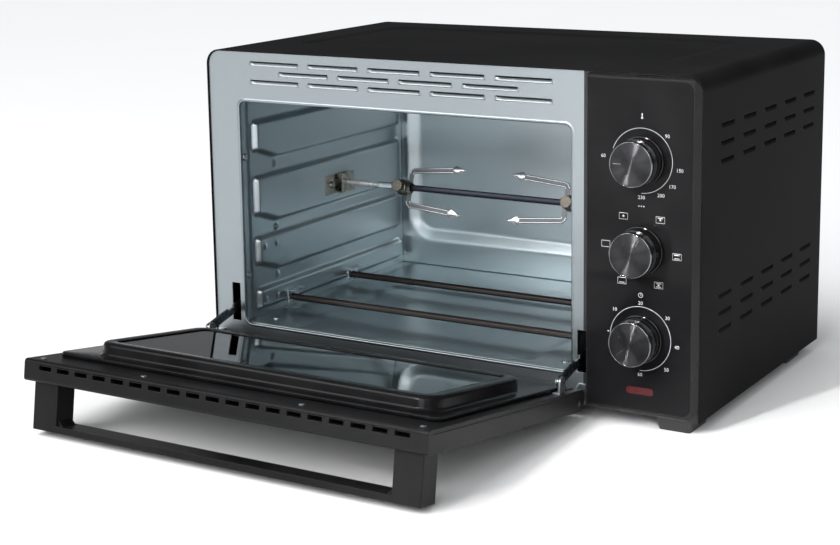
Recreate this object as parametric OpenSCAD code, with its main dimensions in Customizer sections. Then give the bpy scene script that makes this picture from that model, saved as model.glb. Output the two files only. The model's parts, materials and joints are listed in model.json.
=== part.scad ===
// Countertop rotisserie oven: painted cabinet, bright steel cavity, drop-down door, three-knob
// control panel and a motor-driven spit with two adjustable forks.
// Millimetres. +X to the control panel side, +Y to the back, +Z up, table at z = 0.
// The door is drawn open, resting on its stop, tilted up by open_tilt.

// Which sub-part to draw ("all" draws everything).

/* [Cabinet] */
// Overall width of the cabinet
body_w = 500; // [400:1:600]
// Overall height, feet included
body_h = 301; // [240:1:380]
// Depth from the front steel to the back cover
body_d = 297; // [240:1:380]
// Height of the feet
foot_h = 10.9; // [6:0.1:25]
// Width of one foot across the cabinet
foot_w = 33.5; // [16:0.5:40]
// Length of one foot front to back
foot_l = 41.5; // [20:0.5:50]
// Corner radius of the folded wrap
wrap_r = 14; // [4:0.5:30]
// Thickness of the sheet steel
sheet = 1.0; // [0.6:0.1:1.6]

/* [Opening and cavity] */
// Steel border left of the opening
border_left = 35.1; // [30:0.1:60]
// Steel border between the opening and the control panel
border_right = 17.3; // [14:0.1:40]
// Steel border above the opening, with the air slots
border_top = 47.6; // [40:0.1:80]
// Steel border below the opening
border_low = 27.5; // [20:0.1:50]
// Corner radius of the opening
open_r = 7; // [3:0.5:20]
// Height of the pressed fields that carry the shelf guides
field_h = 6; // [3:0.5:8]
// Depth of the pressed recess in the back wall
back_press = 5; // [2:0.5:5.5]
// Depth of the pressed recess in the floor
floor_press = 2; // [1:0.5:4]

/* [Door] */
// Thickness of the door frame
door_t = 18.8; // [14:0.1:26]
// Length of the door from the pivot to its free edge
door_reach = 251; // [200:1:320]
// Length of the door past the pivot
door_tail = 8; // [6:0.1:9]
// Height of the pivot above the table
pivot_z = 17.2; // [15:0.1:25]
// Distance of the pivot in front of the steel front
pivot_out = 16.2; // [15:0.1:20]
// Distance of the pivot from the outer face of the door
pivot_depth = 7.1; // [5:0.1:9]
// Angle of the open door above level, set by its stop
open_tilt = 8.56; // [4:0.01:20]
// Height of the stepped plate on the inner face
step_h = 4; // [2:0.1:4]
// Height of the raised pan above the door frame
pan_h = 16; // [10:0.5:20]
// Slots in the free edge
edge_slots = 19; // [9:1:25]

/* [Handle] */
// Width of each handle post
post_w = 26; // [16:0.5:40]
// Depth of the posts and the grip along the door
grip_w = 22; // [14:0.5:30]
// How far the handle stands off the door
handle_out = 41; // [30:0.5:42]
// Thickness of the grip
grip_t = 5.5; // [4:0.1:12]

/* [Controls] */
// Width of the control panel zone
panel_w = 100.6; // [80:0.1:140]
// How far the control panel stands in front of the steel
panel_out = 7.7; // [5:0.1:14]
// Diameter of a knob at its base
knob_d = 41; // [28:0.5:48]
// Length of a knob
knob_len = 21.5; // [14:0.5:30]
// Diameter of the control shafts
shaft_d = 6; // [5:0.1:8]
// Height of the middle knob above the table
knob_mid = 154.4; // [140:0.1:170]
// Distance between neighbouring knobs
knob_pitch = 75.1; // [60:0.1:100]
// Width of the red indicator window
lens_w = 25; // [12:0.5:40]

/* [Rotisserie] */
// Distance of the spit behind the steel front
spit_y = 166; // [110:1:220]
// Height of the spit above the cavity floor
spit_up = 110.5; // [95:0.5:125]
// Side of the square spit rod
spit_a = 6; // [5:0.1:9]
// Length of the fork prongs
prong_l = 62; // [40:1:90]
// Height of the forks across the prongs
fork_span = 35; // [24:0.5:60]
// Turn of the forks about the spit
fork_turn = 17; // [0:1:90]

/* [Heaters] */
// Diameter of the heater rods
heater_d = 6.5; // [5:0.1:9]
// Height of the lower heaters above the cavity floor
heater_up = 9.5; // [8:0.1:20]
// Distance of the front heaters behind the steel front
heater_front = 73.1; // [50:0.1:100]
// Distance of the rear heaters behind the steel front
heater_rear = 180; // [150:0.5:240]

/* [Fits] */
// Gap all round between the door and what it passes
door_gap = 0.5; // [0.4:0.1:2]
// Radial gap of a running fit
run_gap = 0.06; // [0.02:0.01:0.1]
// Gap of the forks and the socket on the square rod
slide_gap = 0.1; // [0.05:0.01:0.2]
// Gap between parts that are laid into each other
lay_gap = 0.15; // [0.05:0.01:0.4]

/* [Hidden] */
$fn = 48;
eps = 0.02;
black = [0.06, 0.06, 0.065];
coal = [0.16, 0.16, 0.17];
steel = [0.72, 0.76, 0.79];
zinc = [0.78, 0.79, 0.8];
chrome = [0.85, 0.85, 0.87];
oxide = [0.25, 0.2, 0.18];
ceramic = [0.9, 0.87, 0.8];
brass = [0.75, 0.66, 0.45];
smoke = [0.1, 0.12, 0.13, 0.5];

// Cabinet limits.
half_w = body_w / 2;
case_z0 = foot_h;
panel_x0 = half_w - panel_w;
panel_x1 = half_w - 0.4;

// Opening and cavity limits, inner faces.
open_x0 = -half_w + border_left;
open_x1 = panel_x0 - border_right;
open_z0 = case_z0 + border_low;
open_z1 = body_h - border_top;
wall_back = 2.1;
cav_x0 = open_x0 - wall_back;
cav_x1 = open_x1 + wall_back;
cav_z0 = open_z0 + 0.6;
cav_z1 = open_z1 + 8.6;
cav_y0 = sheet;
cav_y1 = body_d - 8;
cav_mid = (cav_x0 + cav_x1) / 2;

// Door limits in its own frame: s runs from the pivot to the free edge, n to the inner side.
door_x0 = -half_w + door_gap;
door_x1 = panel_x0 - 1.4;
door_w = door_x1 - door_x0;
n_out = -pivot_depth;
n_in = door_t - pivot_depth;
n_step = n_in + step_h;
n_pan = n_in + pan_h;
step_in = 10;
step_x0 = door_x0 + step_in;
step_x1 = door_x1 - step_in;
step_s0 = 2;
step_s1 = door_reach - 30;
pan_in = 5.9;
pan_x0 = open_x0 + pan_in;
pan_x1 = open_x1 - pan_in;
pan_s0 = 61;
pan_s1 = door_reach - 40;
pan_r = 18;
pan_rim = 12;
pan_t = 1.2;
glass_t = 3;
win_x0 = pan_x0 + pan_rim + 4;
win_x1 = pan_x1 - pan_rim - 4;
win_s0 = pan_s0 + pan_rim + 4;
win_s1 = pan_s1 - pan_rim - 4;
pane_edge = 12;
pane_x0 = door_x0 + pane_edge;
pane_x1 = door_x1 - pane_edge;
pane_s0 = 14;
pane_s1 = door_reach - 38;

// Handle limits in the door frame.
grip_s1 = door_reach - 6.4;
grip_s0 = grip_s1 - grip_w;
grip_n0 = n_out - handle_out;
post_in = 6.4;

// Hinge arms: foot on the door, link through the slot in the front steel.
foot_s = 30;
foot_up = 9.8;
foot_n = n_in + foot_up;
arm_len = 56;
arm_t = 2;
arm_hh = 4.4;
foot_t = 1;
arm_rise = 13.9;
rivet_r = 2;
slot_w = 9.5;
slot_h = 37;
slot_up = 1.3;
slot_z0 = pivot_z + foot_n + slot_up;
slot_x = [-half_w + 20, panel_x0 - 2.2 - slot_w];
arm_x = [slot_x[0] + 3.4, slot_x[1] + 3.4];
ear_t = 2;
ear_r = 5;
ear_in = 7;
ear_x = [door_x0 + ear_in, door_x1 - ear_in - ear_t];
pin_r = 2.5;
pin_len = 17;

// Spit height, and the knob stack from top to bottom.
spit_z = cav_z0 + spit_up;
knob_x = (panel_x0 + panel_x1) / 2;
knob_z = [for (i = [1, 0, -1]) knob_mid + i * knob_pitch];
knob_y1 = -panel_out - 1;
knob_y0 = knob_y1 - knob_len;
lens_z = 34;
lens_h = 6.3;

// Spit along X.
journal_r = 2.5;
spit_x0 = cav_x0 + field_h + 1.6;
spit_x1 = cav_x1 + 6;
socket_in = 14;
hub_w = 10;
neck_x = spit_x0 + 36;
neck_l = 7;

// The forks share out the free length of the square bar: both ends and the gap between the tips.
fork_reach = prong_l + hub_w / 2 + 2;
tip_gap = 4;
bar_x0 = neck_x + neck_l + hub_w / 2;
bar_x1 = cav_x1 - socket_in - hub_w / 2 - 4;
fork_spare = bar_x1 - bar_x0 - 2 * fork_reach - tip_gap;
left_share = 0.18683;
right_share = 0.460949;
fork_x = [bar_x0 + left_share * fork_spare, bar_x1 - right_share * fork_spare];
hub_r = 8;
screw_r = 2;

// Rear limits and the shift that centres the whole part on the origin.
gland_out = 9;
back_y = body_d + gland_out;
door_r = 3;
front_y = min(
    -pivot_out - (door_reach - door_r) * cos(open_tilt) + (n_out + door_r) * sin(open_tilt) - door_r,
    -pivot_out - grip_s1 * cos(open_tilt) + grip_n0 * sin(open_tilt)
);
shift_y = -(front_y + back_y) / 2;

// ---------------------------------------------------------------- helpers

module oven() { translate([0, shift_y, 0]) children(); }

module along_y(y0, y1) { translate([0, y1, 0]) rotate([90, 0, 0]) linear_extrude(y1 - y0) children(); }

module along_x(x0, x1) { translate([x0, 0, 0]) rotate([90, 0, 90]) linear_extrude(x1 - x0) children(); }

module along_z(z0, z1) { translate([0, 0, z0]) linear_extrude(z1 - z0) children(); }

module box(x0, x1, y0, y1, z0, z1) { translate([x0, y0, z0]) cube([x1 - x0, y1 - y0, z1 - z0]); }

module rod_x(x0, x1, y, z, r) { translate([x0, y, z]) rotate([0, 90, 0]) cylinder(h = x1 - x0, r = r); }

module rod_y(y0, y1, x, z, r) { translate([x, y0, z]) rotate([-90, 0, 0]) cylinder(h = y1 - y0, r = r); }

module rod_z(z0, z1, x, y, r) { translate([x, y, z0]) cylinder(h = z1 - z0, r = r); }

module round_rect(x0, x1, y0, y1, r) {
    translate([x0 + r, y0]) square([x1 - x0 - 2 * r, y1 - y0]);
    translate([x0, y0 + r]) square([x1 - x0, y1 - y0 - 2 * r]);
    for (x = [x0 + r, x1 - r], y = [y0 + r, y1 - r]) translate([x, y]) circle(r);
}

// Moves a shape built as x, -s, n into the open door.
module on_door() {
    oven() translate([0, -pivot_out, pivot_z]) rotate([-open_tilt, 0, 0]) children();
}

// Air slot in a sheet lying in the x, z plane with its face at y = 0; the scoop is pressed to +y.
slot_hh = 4.4;
scoop = 2.6;
module slot_cut(len) { box(-len / 2, len / 2, -1, sheet + 1, -slot_hh / 2, slot_hh / 2); }

module slot_scoop(len) {
    along_x(-len / 2 - sheet, len / 2 + sheet)
        polygon([[0.1, -slot_hh / 2 - 0.6], [sheet, -slot_hh / 2 - 0.6], [sheet + scoop, slot_hh / 2 - 1.2],
                 [sheet + scoop, slot_hh / 2 - 0.4], [sheet + scoop - 0.7, slot_hh / 2 - 0.4],
                 [0.1, -slot_hh / 2 + 0.4]]);
    for (side = [-1, 1]) translate([side * (len / 2 + sheet / 2), 0, 0]) along_x(-sheet / 2, sheet / 2)
        polygon([[sheet - 0.1, -slot_hh / 2 - 0.6], [sheet + scoop, slot_hh / 2 - 1.2],
                 [sheet + scoop, slot_hh / 2 + 0.4], [sheet - 0.1, slot_hh / 2 + 0.4]]);
}

module pan_head(r, h) {
    cylinder(h = h * 0.5, r = r);
    translate([0, 0, h * 0.5]) cylinder(h = h * 0.5, r1 = r, r2 = r * 0.7);
}

// ---------------------------------------------------------------- cabinet

front_slot_len = 54;
front_slot_pitch = 65;
front_slot_rise = 8.6;
front_slot_z = body_h - 29;
side_slot_len = 30;
side_slot_y = 52.5;
side_slot_pitch = 50.5;

side_group_z = [79.9, 225];
side_row_rise = 15;

module side_slots() {
    for (group = [0, 1], row = [0:2], i = [0:4])
        translate([0, side_slot_y + i * side_slot_pitch, side_group_z[group] + row * side_row_rise])
            children();
}

module front_slots() {
    for (row = [0:2], i = [0:(row == 1 ? 3 : 4)])
        translate([cav_mid - 2 + (i - (row == 1 ? 1.5 : 2)) * front_slot_pitch, 0,
                   front_slot_z + row * front_slot_rise]) children();
}

// Outline of the wrap in x and z, moved in by inset; the inner one is open at the bottom.
module wrap_outline(inset, below) {
    x = half_w - inset;
    top = body_h - inset;
    r = wrap_r - inset;
    translate([-x, case_z0 - below]) square([2 * x, top - case_z0 - r + below]);
    translate([-x + r, top - r - 1]) square([2 * (x - r), r + 1]);
    for (side = [-1, 1]) translate([side * (x - r), top - r]) circle(r);
}

top_x0 = -half_w + 50;
top_x1 = half_w - 62;
top_y0 = 65;
top_y1 = body_d - 41;
top_r = 24;
top_slope = 9;
top_press = 1.2;
front_lip = 1.5;

module top_dish(thick) {
    hull() {
        along_z(body_h - eps, body_h + thick) round_rect(top_x0, top_x1, top_y0, top_y1, top_r, $fn = 32);
        along_z(body_h - top_press - eps, body_h - top_press)
            round_rect(top_x0 + top_slope, top_x1 - top_slope, top_y0 + top_slope, top_y1 - top_slope,
                       top_r - top_slope / 2, $fn = 32);
    }
}

module side_sheet_at(side) { translate([side * half_w, 0, 0]) rotate([0, 0, side * 90]) children(); }

module case_wrap() {
    color(black) oven() {
        difference() {
            union() {
                along_y(-front_lip, body_d) difference() {
                    wrap_outline(0, 0);
                    wrap_outline(sheet, 1);
                }
                translate([0, 0, -sheet]) intersection() {
                    top_dish(0);
                    box(top_x0, top_x1, top_y0, top_y1, body_h - 3, body_h);
                }
            }
            top_dish(1);
            side_slots() for (side = [-1, 1]) side_sheet_at(side) slot_cut(side_slot_len);
        }
        side_slots() for (side = [-1, 1]) side_sheet_at(side) slot_scoop(side_slot_len);
    }
}

steel_inset = sheet + 0.15;
lip_d = 3;
panel_hole_r = 7;
mount_pitch = 26;

module opening_outline(grow) {
    round_rect(open_x0 - grow, open_x1 + grow, open_z0 - grow, open_z1 + grow, open_r + grow);
}

module arm_slot_cuts() {
    for (x = slot_x) box(x, x + slot_w, -1, sheet + 1, slot_z0, slot_z0 + slot_h);
}

module front_frame() {
    color(steel) oven() {
        difference() {
            union() {
                along_y(0, sheet) wrap_outline(steel_inset, 0);
                along_y(0, lip_d) opening_outline(sheet);
            }
            along_y(-1, lip_d + 1) opening_outline(0);
            front_slots() slot_cut(front_slot_len);
            arm_slot_cuts();
            for (z = knob_z) rod_y(-1, sheet + 1, knob_x, z, panel_hole_r);
            box(knob_x - lens_w / 2, knob_x + lens_w / 2, -1, sheet + 1, lens_z - 4, lens_z + 4);
        }
        front_slots() slot_scoop(front_slot_len);
    }
}

base_slots = 9;
base_edge = 12;
base_slot_y = 89;

module base_plate() {
    color(black) oven() {
        x = half_w - steel_inset;
        difference() {
            union() {
                box(-x, x, sheet + 0.2, body_d - sheet - 0.2, case_z0, case_z0 + sheet);
                for (x0 = [-x, x - sheet])
                    box(x0, x0 + sheet, sheet + 0.2, body_d - sheet - 0.2, case_z0, case_z0 + base_edge);
            }
            for (i = [0:base_slots - 1], row = [0:2])
                box(-half_w + 60 + i * (body_w - 130) / (base_slots - 1),
                    -half_w + 84 + i * (body_w - 130) / (base_slots - 1),
                    base_slot_y + row * 60, base_slot_y + row * 60 + 5, case_z0 - 1, case_z0 + 2);
        }
    }
}

back_cols = 7;
gland_x = half_w - 60;
gland_z = case_z0 + 34;
gland_r = 7;

module back_slots() {
    for (row = [0:3], i = [0:back_cols - 1])
        translate([panel_x0 - 10 + (i - back_cols + 1) * 46, body_d, body_h - 58 + row * 11]) children();
    for (row = [0:4]) translate([gland_x, body_d, gland_z + 51 + row * 13]) children();
}

module back_panel() {
    color(black) oven() difference() {
        along_y(body_d - sheet, body_d) wrap_outline(steel_inset, 0);
        back_slots() box(-15, 15, -sheet - 1, 1, -2, 2);
        rod_y(body_d - 3, body_d + 1, gland_x, gland_z, gland_r);
    }
}

foot_in = 7;
foot_back = 21.5;
foot_x = [-half_w + foot_in, half_w - foot_in - foot_w];
foot_y = [0.4, body_d - foot_back - foot_l];
foot_taper = 2.5;

module feet() {
    color(coal) oven() for (x = foot_x, y = foot_y) hull() {
        along_z(0, eps) round_rect(x + foot_taper, x + foot_w - foot_taper, y + foot_taper,
                                   y + foot_l - foot_taper, 3, $fn = 32);
        along_z(foot_h - eps, foot_h) round_rect(x, x + foot_w, y, y + foot_l, 4, $fn = 32);
    }
}

screw_head_r = 3.6;
screw_head_h = 1.8;

module case_screws() {
    color(coal) oven() {
        for (x = [-half_w + 16, -70, 90, half_w - 16], z = [case_z0 + 14, body_h - 20])
            translate([x, body_d, z]) rotate([-90, 0, 0]) pan_head(screw_head_r, screw_head_h);
        for (x = [-half_w + 50, -20, half_w - 50], y = [16, body_d - 14])
            translate([x, y, case_z0]) rotate([180, 0, 0]) pan_head(screw_head_r, screw_head_h);
    }
}

// ---------------------------------------------------------------- cavity

field_y0 = 19;
field_y1 = cav_y1 - 7;
field_flare = 9;
field_ramp = 34;
field_slope = 5;
field_z = [[6.7, 29.2], [41.5, 80], [90, 139.3], [152.2, 192.8]];
heater_y = [heater_front, heater_rear];
heater_z = [cav_z0 + heater_up, cav_z1 - 15];
heater_out = 17;
stop_r = 2.4;

function field_outline(i, t) = [
    [field_y0 + t, cav_z0 + field_z[i][0] + (i == 0 ? 0 : field_flare) + t],
    [field_y0 + t, cav_z0 + field_z[i][1] - t],
    [field_y1 - t, cav_z0 + field_z[i][1] - t],
    [field_y1 - t, cav_z0 + field_z[i][0] + t],
    [field_y0 + field_ramp, cav_z0 + field_z[i][0] + t],
    [field_y0 + 3 + t, cav_z0 + field_z[i][0] + (i == 0 ? 0 : field_flare) + t]
];

// Left wall; the right one is its mirror image with a hole for the drive socket.
module guide_wall(drive_hole_r) {
    difference() {
        union() {
            box(cav_x0 - sheet, cav_x0, cav_y0 + 0.05, cav_y1, cav_z0 - sheet, cav_z1 + sheet);
            difference() {
                for (i = [0:3]) along_x(cav_x0 - 0.2, cav_x0 + field_h) polygon(field_outline(i, 0));
                along_z(cav_z0, cav_z1) polygon([
                    [cav_x0, field_y0 - 1], [cav_x0, field_y0],
                    [cav_x0 + field_h + 0.1, field_y0 + field_slope],
                    [cav_x0 + field_h + 0.1, field_y0 - 1]]);
            }
            for (i = [1:3]) translate([cav_x0, field_y0 + field_ramp + 2, cav_z0 + field_z[i][0] - 8])
                sphere(stop_r, $fn = 24);
        }
        for (i = [0:3]) intersection() {
            along_x(cav_x0 - 2, cav_x0 + field_h - sheet) polygon(field_outline(i, sheet + 0.2));
            box(cav_x0 - 2, cav_x0 + field_h, field_y0 + field_slope + 1, cav_y1, cav_z0, cav_z1);
        }
        for (y = heater_y, z = heater_z) rod_x(cav_x0 - 2, cav_x0 + field_h + 1, y, z, heater_d / 2 + 0.8);
        if (drive_hole_r > 0) rod_x(cav_x0 - 2, cav_x0 + field_h + 1, spit_y, spit_z, drive_hole_r);
    }
}

module mirrored() { translate([2 * cav_mid, 0, 0]) mirror([1, 0, 0]) children(); }

socket_r = 9;

module cavity_left() { color(steel) oven() guide_wall(0); }

module cavity_right() { color(steel) oven() mirrored() guide_wall(socket_r + 0.6); }

module cavity_top() {
    color(steel) oven() difference() {
        box(cav_x0, cav_x1, cav_y0 + 0.05, cav_y1, cav_z1, cav_z1 + sheet);
        for (i = [-2:2]) box(cav_mid + i * 55 - 18, cav_mid + i * 55 + 18, 24, 28, cav_z1 - 1, cav_z1 + 2);
    }
}

// Sheet with a pressed dish whose sides slope; the dish goes down by deep.
module dished_sheet(x0, x1, y0, y1, dx0, dx1, dy0, dy1, r, slope, deep) {
    difference() {
        box(x0, x1, y0, y1, -sheet, 0);
        box(dx0 + slope, dx1 - slope, dy0 + slope, dy1 - slope, -sheet - 1, 1);
        dish(dx0, dx1, dy0, dy1, r, slope, deep);
    }
    difference() {
        translate([0, 0, -sheet]) dish(dx0, dx1, dy0, dy1, r, slope, deep);
        dish(dx0, dx1, dy0, dy1, r, slope, deep);
    }
}

module dish(dx0, dx1, dy0, dy1, r, slope, deep) {
    hull() {
        along_z(-eps, 0) round_rect(dx0, dx1, dy0, dy1, r, $fn = 32);
        along_z(-deep, -deep + eps)
            round_rect(dx0 + slope, dx1 - slope, dy0 + slope, dy1 - slope, r - slope * 0.6, $fn = 32);
    }
}

floor_dish_y1 = 197.5;

module cavity_floor() {
    color(steel) oven() translate([0, 0, cav_z0])
        dished_sheet(cav_x0, cav_x1, lip_d + 0.2, cav_y1, cav_x0 + 46, cav_x1 - 46, 8, floor_dish_y1,
                     14, 11, floor_press);
}

module cavity_back() {
    color(steel) oven() translate([0, cav_y1, 0]) rotate([90, 0, 0])
        dished_sheet(cav_x0 - sheet, cav_x1 + sheet, cav_z0 - sheet, cav_z1 + sheet, cav_x0 + 8, cav_x1 - 8,
                     cav_z0 + 26, cav_z1 - 22, 30, 15, back_press);
}

wall_screw_z = [cav_z0 + 44.6, cav_z0 + 159.4];

module wall_screw(y, z) { translate([cav_x0, y, z]) rotate([0, 90, 0]) pan_head(screw_head_r, screw_head_h); }

module cavity_screws() {
    color(zinc) oven() {
        for (z = wall_screw_z) {
            wall_screw(9, z);
            mirrored() wall_screw(9, z);
        }
        for (x = [cav_x0 + 20, cav_x1 - 20]) translate([x, 25, cav_z0]) pan_head(screw_head_r, screw_head_h);
    }
}

module heater_pair(z) {
    for (y = heater_y) {
        rod_x(cav_x0 - heater_out, cav_x1 + heater_out, y, z, heater_d / 2);
        for (x = [cav_x0 - heater_out - 8, cav_x1 + heater_out]) rod_x(x, x + 8, y, z, 1.6);
    }
}

module heaters_upper() { color(oxide) oven() heater_pair(heater_z[1]); }

module heaters_lower() { color(oxide) oven() heater_pair(heater_z[0]); }

bead_r = 5.6;
bead_l = 9;

module heater_insulators() {
    color(ceramic) oven() for (y = heater_y, z = heater_z, x = [cav_x0 - sheet - bead_l, cav_x1 + sheet])
        difference() {
            rod_x(x, x + bead_l, y, z, bead_r);
            rod_x(x - 1, x + bead_l + 1, y, z, heater_d / 2 + 0.05);
        }
}

clip_hw = 9;
clip_out = 8;

module heater_clip(y) {
    x = cav_x0 + field_h;
    z = heater_z[0];
    difference() {
        box(x, x + sheet, y - clip_hw, y + clip_hw, z - 5, z + 9);
        rod_x(x - 1, x + 2, y, z, heater_d / 2 + 0.6);
    }
    box(x, x + clip_out, y - clip_hw, y + clip_hw, z + 8, z + 9);
}

module heater_clips() {
    color(zinc) oven() for (y = heater_y) {
        heater_clip(y);
        mirrored() heater_clip(y);
    }
}

// ---------------------------------------------------------------- hinge parts on the cabinet

flange_t = 1.5;

module hinge_ears() {
    color(zinc) oven() for (i = [0, 1]) {
        x = ear_x[i];
        difference() {
            union() {
                along_x(x, x + ear_t) hull() {
                    translate([-pivot_out, pivot_z]) circle(ear_r);
                    translate([-flange_t, pivot_z - ear_r]) square([flange_t, 18]);
                }
                box(i == 0 ? x - 5 : x, i == 0 ? x + ear_t : x + ear_t + 5, -flange_t, 0,
                    pivot_z - ear_r, pivot_z + 18 - ear_r);
            }
            rod_x(x - 1, x + ear_t + 1, -pivot_out, pivot_z, pin_r + run_gap);
        }
    }
}

// ---------------------------------------------------------------- control panel

bezel_z0 = case_z0 + 2.6;
bezel_z1 = body_h - 1.8;
bezel_r = 12;
bezel_edge = 4.6;
fascia_t = 1;
fascia_in = 1.1;
fascia_low = 3.4;
fascia_top = 3.6;
fascia_r = 8;
lens_r = lens_h / 2 - 0.4;
wrap_gap = 0.3;

// Outline with sharp left corners and round right ones.
module panel_outline(x0, x1, z0, z1, r) {
    translate([x0, z0]) square([x1 - x0 - r, z1 - z0]);
    translate([x0, z0 + r]) square([x1 - x0, z1 - z0 - 2 * r]);
    for (z = [z0 + r, z1 - r]) translate([x1 - r, z]) circle(r);
}

// Recess of the gloss fascia, moved in by inset.
module fascia_outline(inset) {
    panel_outline(panel_x0 + fascia_in + inset, panel_x1 - bezel_edge - 0.5 - inset,
                  bezel_z0 + fascia_low + inset, bezel_z1 - fascia_top - inset, fascia_r - inset);
}

module lens_outline(inset) {
    round_rect(knob_x - lens_w / 2 + inset, knob_x + lens_w / 2 - inset,
               lens_z - lens_h / 2 + inset, lens_z + lens_h / 2 - inset, lens_r);
}

module panel_bezel() {
    color(black) oven() difference() {
        intersection() {
            along_y(-panel_out, -0.02) panel_outline(panel_x0, panel_x1, bezel_z0, bezel_z1, bezel_r);
            along_z(bezel_z0 - 1, bezel_z1 + 1) polygon([
                [panel_x0, 1], [panel_x0, -panel_out + 0.6], [panel_x0 + 0.6, -panel_out],
                [panel_x1 - bezel_edge, -panel_out], [panel_x1, -1.6], [panel_x1, 1]]);
            along_x(panel_x0 - 1, panel_x1 + 1) polygon([
                [1, bezel_z0], [-panel_out + 1.4, bezel_z0], [-panel_out, bezel_z0 + 1.4],
                [-panel_out, bezel_z1 - 2], [-2, bezel_z1], [1, bezel_z1]]);
        }
        along_y(-panel_out - 1, -panel_out + fascia_t)
            fascia_outline(0);
        along_y(-panel_out + fascia_t + 1.6, 1)
            panel_outline(panel_x0 + 2, panel_x1 - 3, bezel_z0 + 2.4, bezel_z1 - 2.4, bezel_r - 3);
        along_y(-front_lip - wrap_gap, 1) difference() {
            square([half_w + 1, body_h + 1]);
            wrap_outline(sheet + wrap_gap, case_z0);
        }
        for (z = knob_z) rod_y(-panel_out - 1, 1, knob_x, z, panel_hole_r);
        along_y(-panel_out - 1, 1) lens_outline(0);
    }
}

module panel_fascia() {
    color(black) oven() difference() {
        along_y(-panel_out, -panel_out + fascia_t)
            fascia_outline(lay_gap);
        for (z = knob_z) rod_y(-panel_out - 1, 1, knob_x, z, panel_hole_r);
        along_y(-panel_out - 1, 1) lens_outline(0);
    }
}

module lamp_lens() {
    color([0.7, 0.05, 0.08]) oven() along_y(-panel_out - 0.4, -panel_out + 2.4)
        lens_outline(lay_gap);
}

module lamp_holder() {
    color(coal) oven() {
        box(knob_x - 9, knob_x + 9, sheet + 0.1, sheet + 5, lens_z - 2.9, lens_z + 2.9);
        rod_y(-panel_out + 2.6, sheet + 4, knob_x, lens_z, 2.4);
        rod_y(sheet + 5, sheet + 12, knob_x - 4, lens_z, 0.8);
        rod_y(sheet + 5, sheet + 12, knob_x + 4, lens_z, 0.8);
    }
}

// Threaded bush behind the front steel that a control shaft turns in.
bush_r = 5;
bush_l = 6;
module shaft_bush(z) {
    difference() {
        rod_y(sheet, sheet + bush_l, knob_x, z, bush_r);
        rod_y(0, sheet + bush_l + 1, knob_x, z, shaft_d / 2 + run_gap);
    }
}

module lugs(z, y, count) {
    for (i = [0:count - 1]) box(knob_x - 12 + i * 8, knob_x - 7.5 + i * 8, y, y + 8, z - 0.4, z + 0.4);
}

ctrl_y0 = sheet + bush_l;

module thermostat() {
    color(zinc) oven() {
        shaft_bush(knob_z[0]);
        difference() {
            union() {
                box(knob_x - mount_pitch / 2, knob_x + mount_pitch / 2, ctrl_y0, ctrl_y0 + 1.4,
                    knob_z[0] - 9, knob_z[0] + 9);
                rod_y(ctrl_y0 + 1.4, ctrl_y0 + 15, knob_x, knob_z[0], 16);
            }
            rod_y(ctrl_y0 - 1, ctrl_y0 + 8, knob_x, knob_z[0], shaft_d / 2 + run_gap);
        }
        lugs(knob_z[0] + 6, ctrl_y0 + 15, 3);
    }
}

bulb_x = cav_x1 - field_h - 7;
bulb_z = cav_z0 + field_z[3][1] - 2.8;
bulb_y = [89, 172];

module thermostat_bulb() {
    color(chrome) oven() {
        rod_y(bulb_y[0], bulb_y[1], bulb_x, bulb_z, 2.6);
        rod_y(bulb_y[0] - 12, bulb_y[0], bulb_x, bulb_z, 1);
        translate([bulb_x, bulb_y[0] - 12, bulb_z]) sphere(1, $fn = 24);
        rod_x(bulb_x, cav_x1 - field_h, bulb_y[0] - 12, bulb_z, 1);
    }
}

module selector_switch() {
    color(coal) oven() {
        shaft_bush(knob_z[1]);
        difference() {
            box(knob_x - 17, knob_x + 17, ctrl_y0, ctrl_y0 + 26, knob_z[1] - 17, knob_z[1] + 17);
            rod_y(ctrl_y0 - 1, ctrl_y0 + 10, knob_x, knob_z[1], shaft_d / 2 + run_gap);
        }
        lugs(knob_z[1] + 9, ctrl_y0 + 26, 4);
        lugs(knob_z[1] - 9, ctrl_y0 + 26, 4);
    }
}

timer_l = 36;
timer_lug_up = 18;

module timer_unit() {
    color(zinc) oven() {
        shaft_bush(knob_z[2]);
        difference() {
            box(knob_x - 26, knob_x + 26, ctrl_y0, ctrl_y0 + timer_l, knob_z[2] - 21, knob_z[2] + 21);
            box(knob_x - 24, knob_x + 24, ctrl_y0 + 2, ctrl_y0 + timer_l - 2, knob_z[2] - 30, knob_z[2] - 10);
            rod_y(ctrl_y0 - 1, ctrl_y0 + 12, knob_x, knob_z[2], shaft_d / 2 + run_gap);
        }
        lugs(knob_z[2] + timer_lug_up, ctrl_y0 + timer_l, 3);
    }
}

module timer_bell() {
    color(zinc) oven() translate([knob_x, ctrl_y0 + timer_l, knob_z[2] - 4]) rotate([-90, 0, 0]) {
        cylinder(h = 3, r = 3);
        translate([0, 0, 3]) difference() {
            cylinder(h = 9, r1 = 19, r2 = 17);
            translate([0, 0, 1]) cylinder(h = 9, r1 = 17.6, r2 = 15.6);
        }
    }
}

motor_x0 = cav_x1 + field_h + 9;
motor_r = 24;
motor_t = 22;

module spit_motor() {
    color(zinc) oven() difference() {
        union() {
            rod_x(motor_x0, motor_x0 + motor_t, spit_y, spit_z, motor_r);
            box(motor_x0, motor_x0 + 1.5, spit_y - 34, spit_y + 34, spit_z - 8, spit_z + 8);
            for (y = [spit_y - 31, spit_y + 31]) rod_x(cav_x1 + sheet, motor_x0, y, spit_z, 3);
        }
        rod_x(motor_x0 - 1, motor_x0 + 9, spit_y, spit_z, 3 + run_gap);
    }
}

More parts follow.
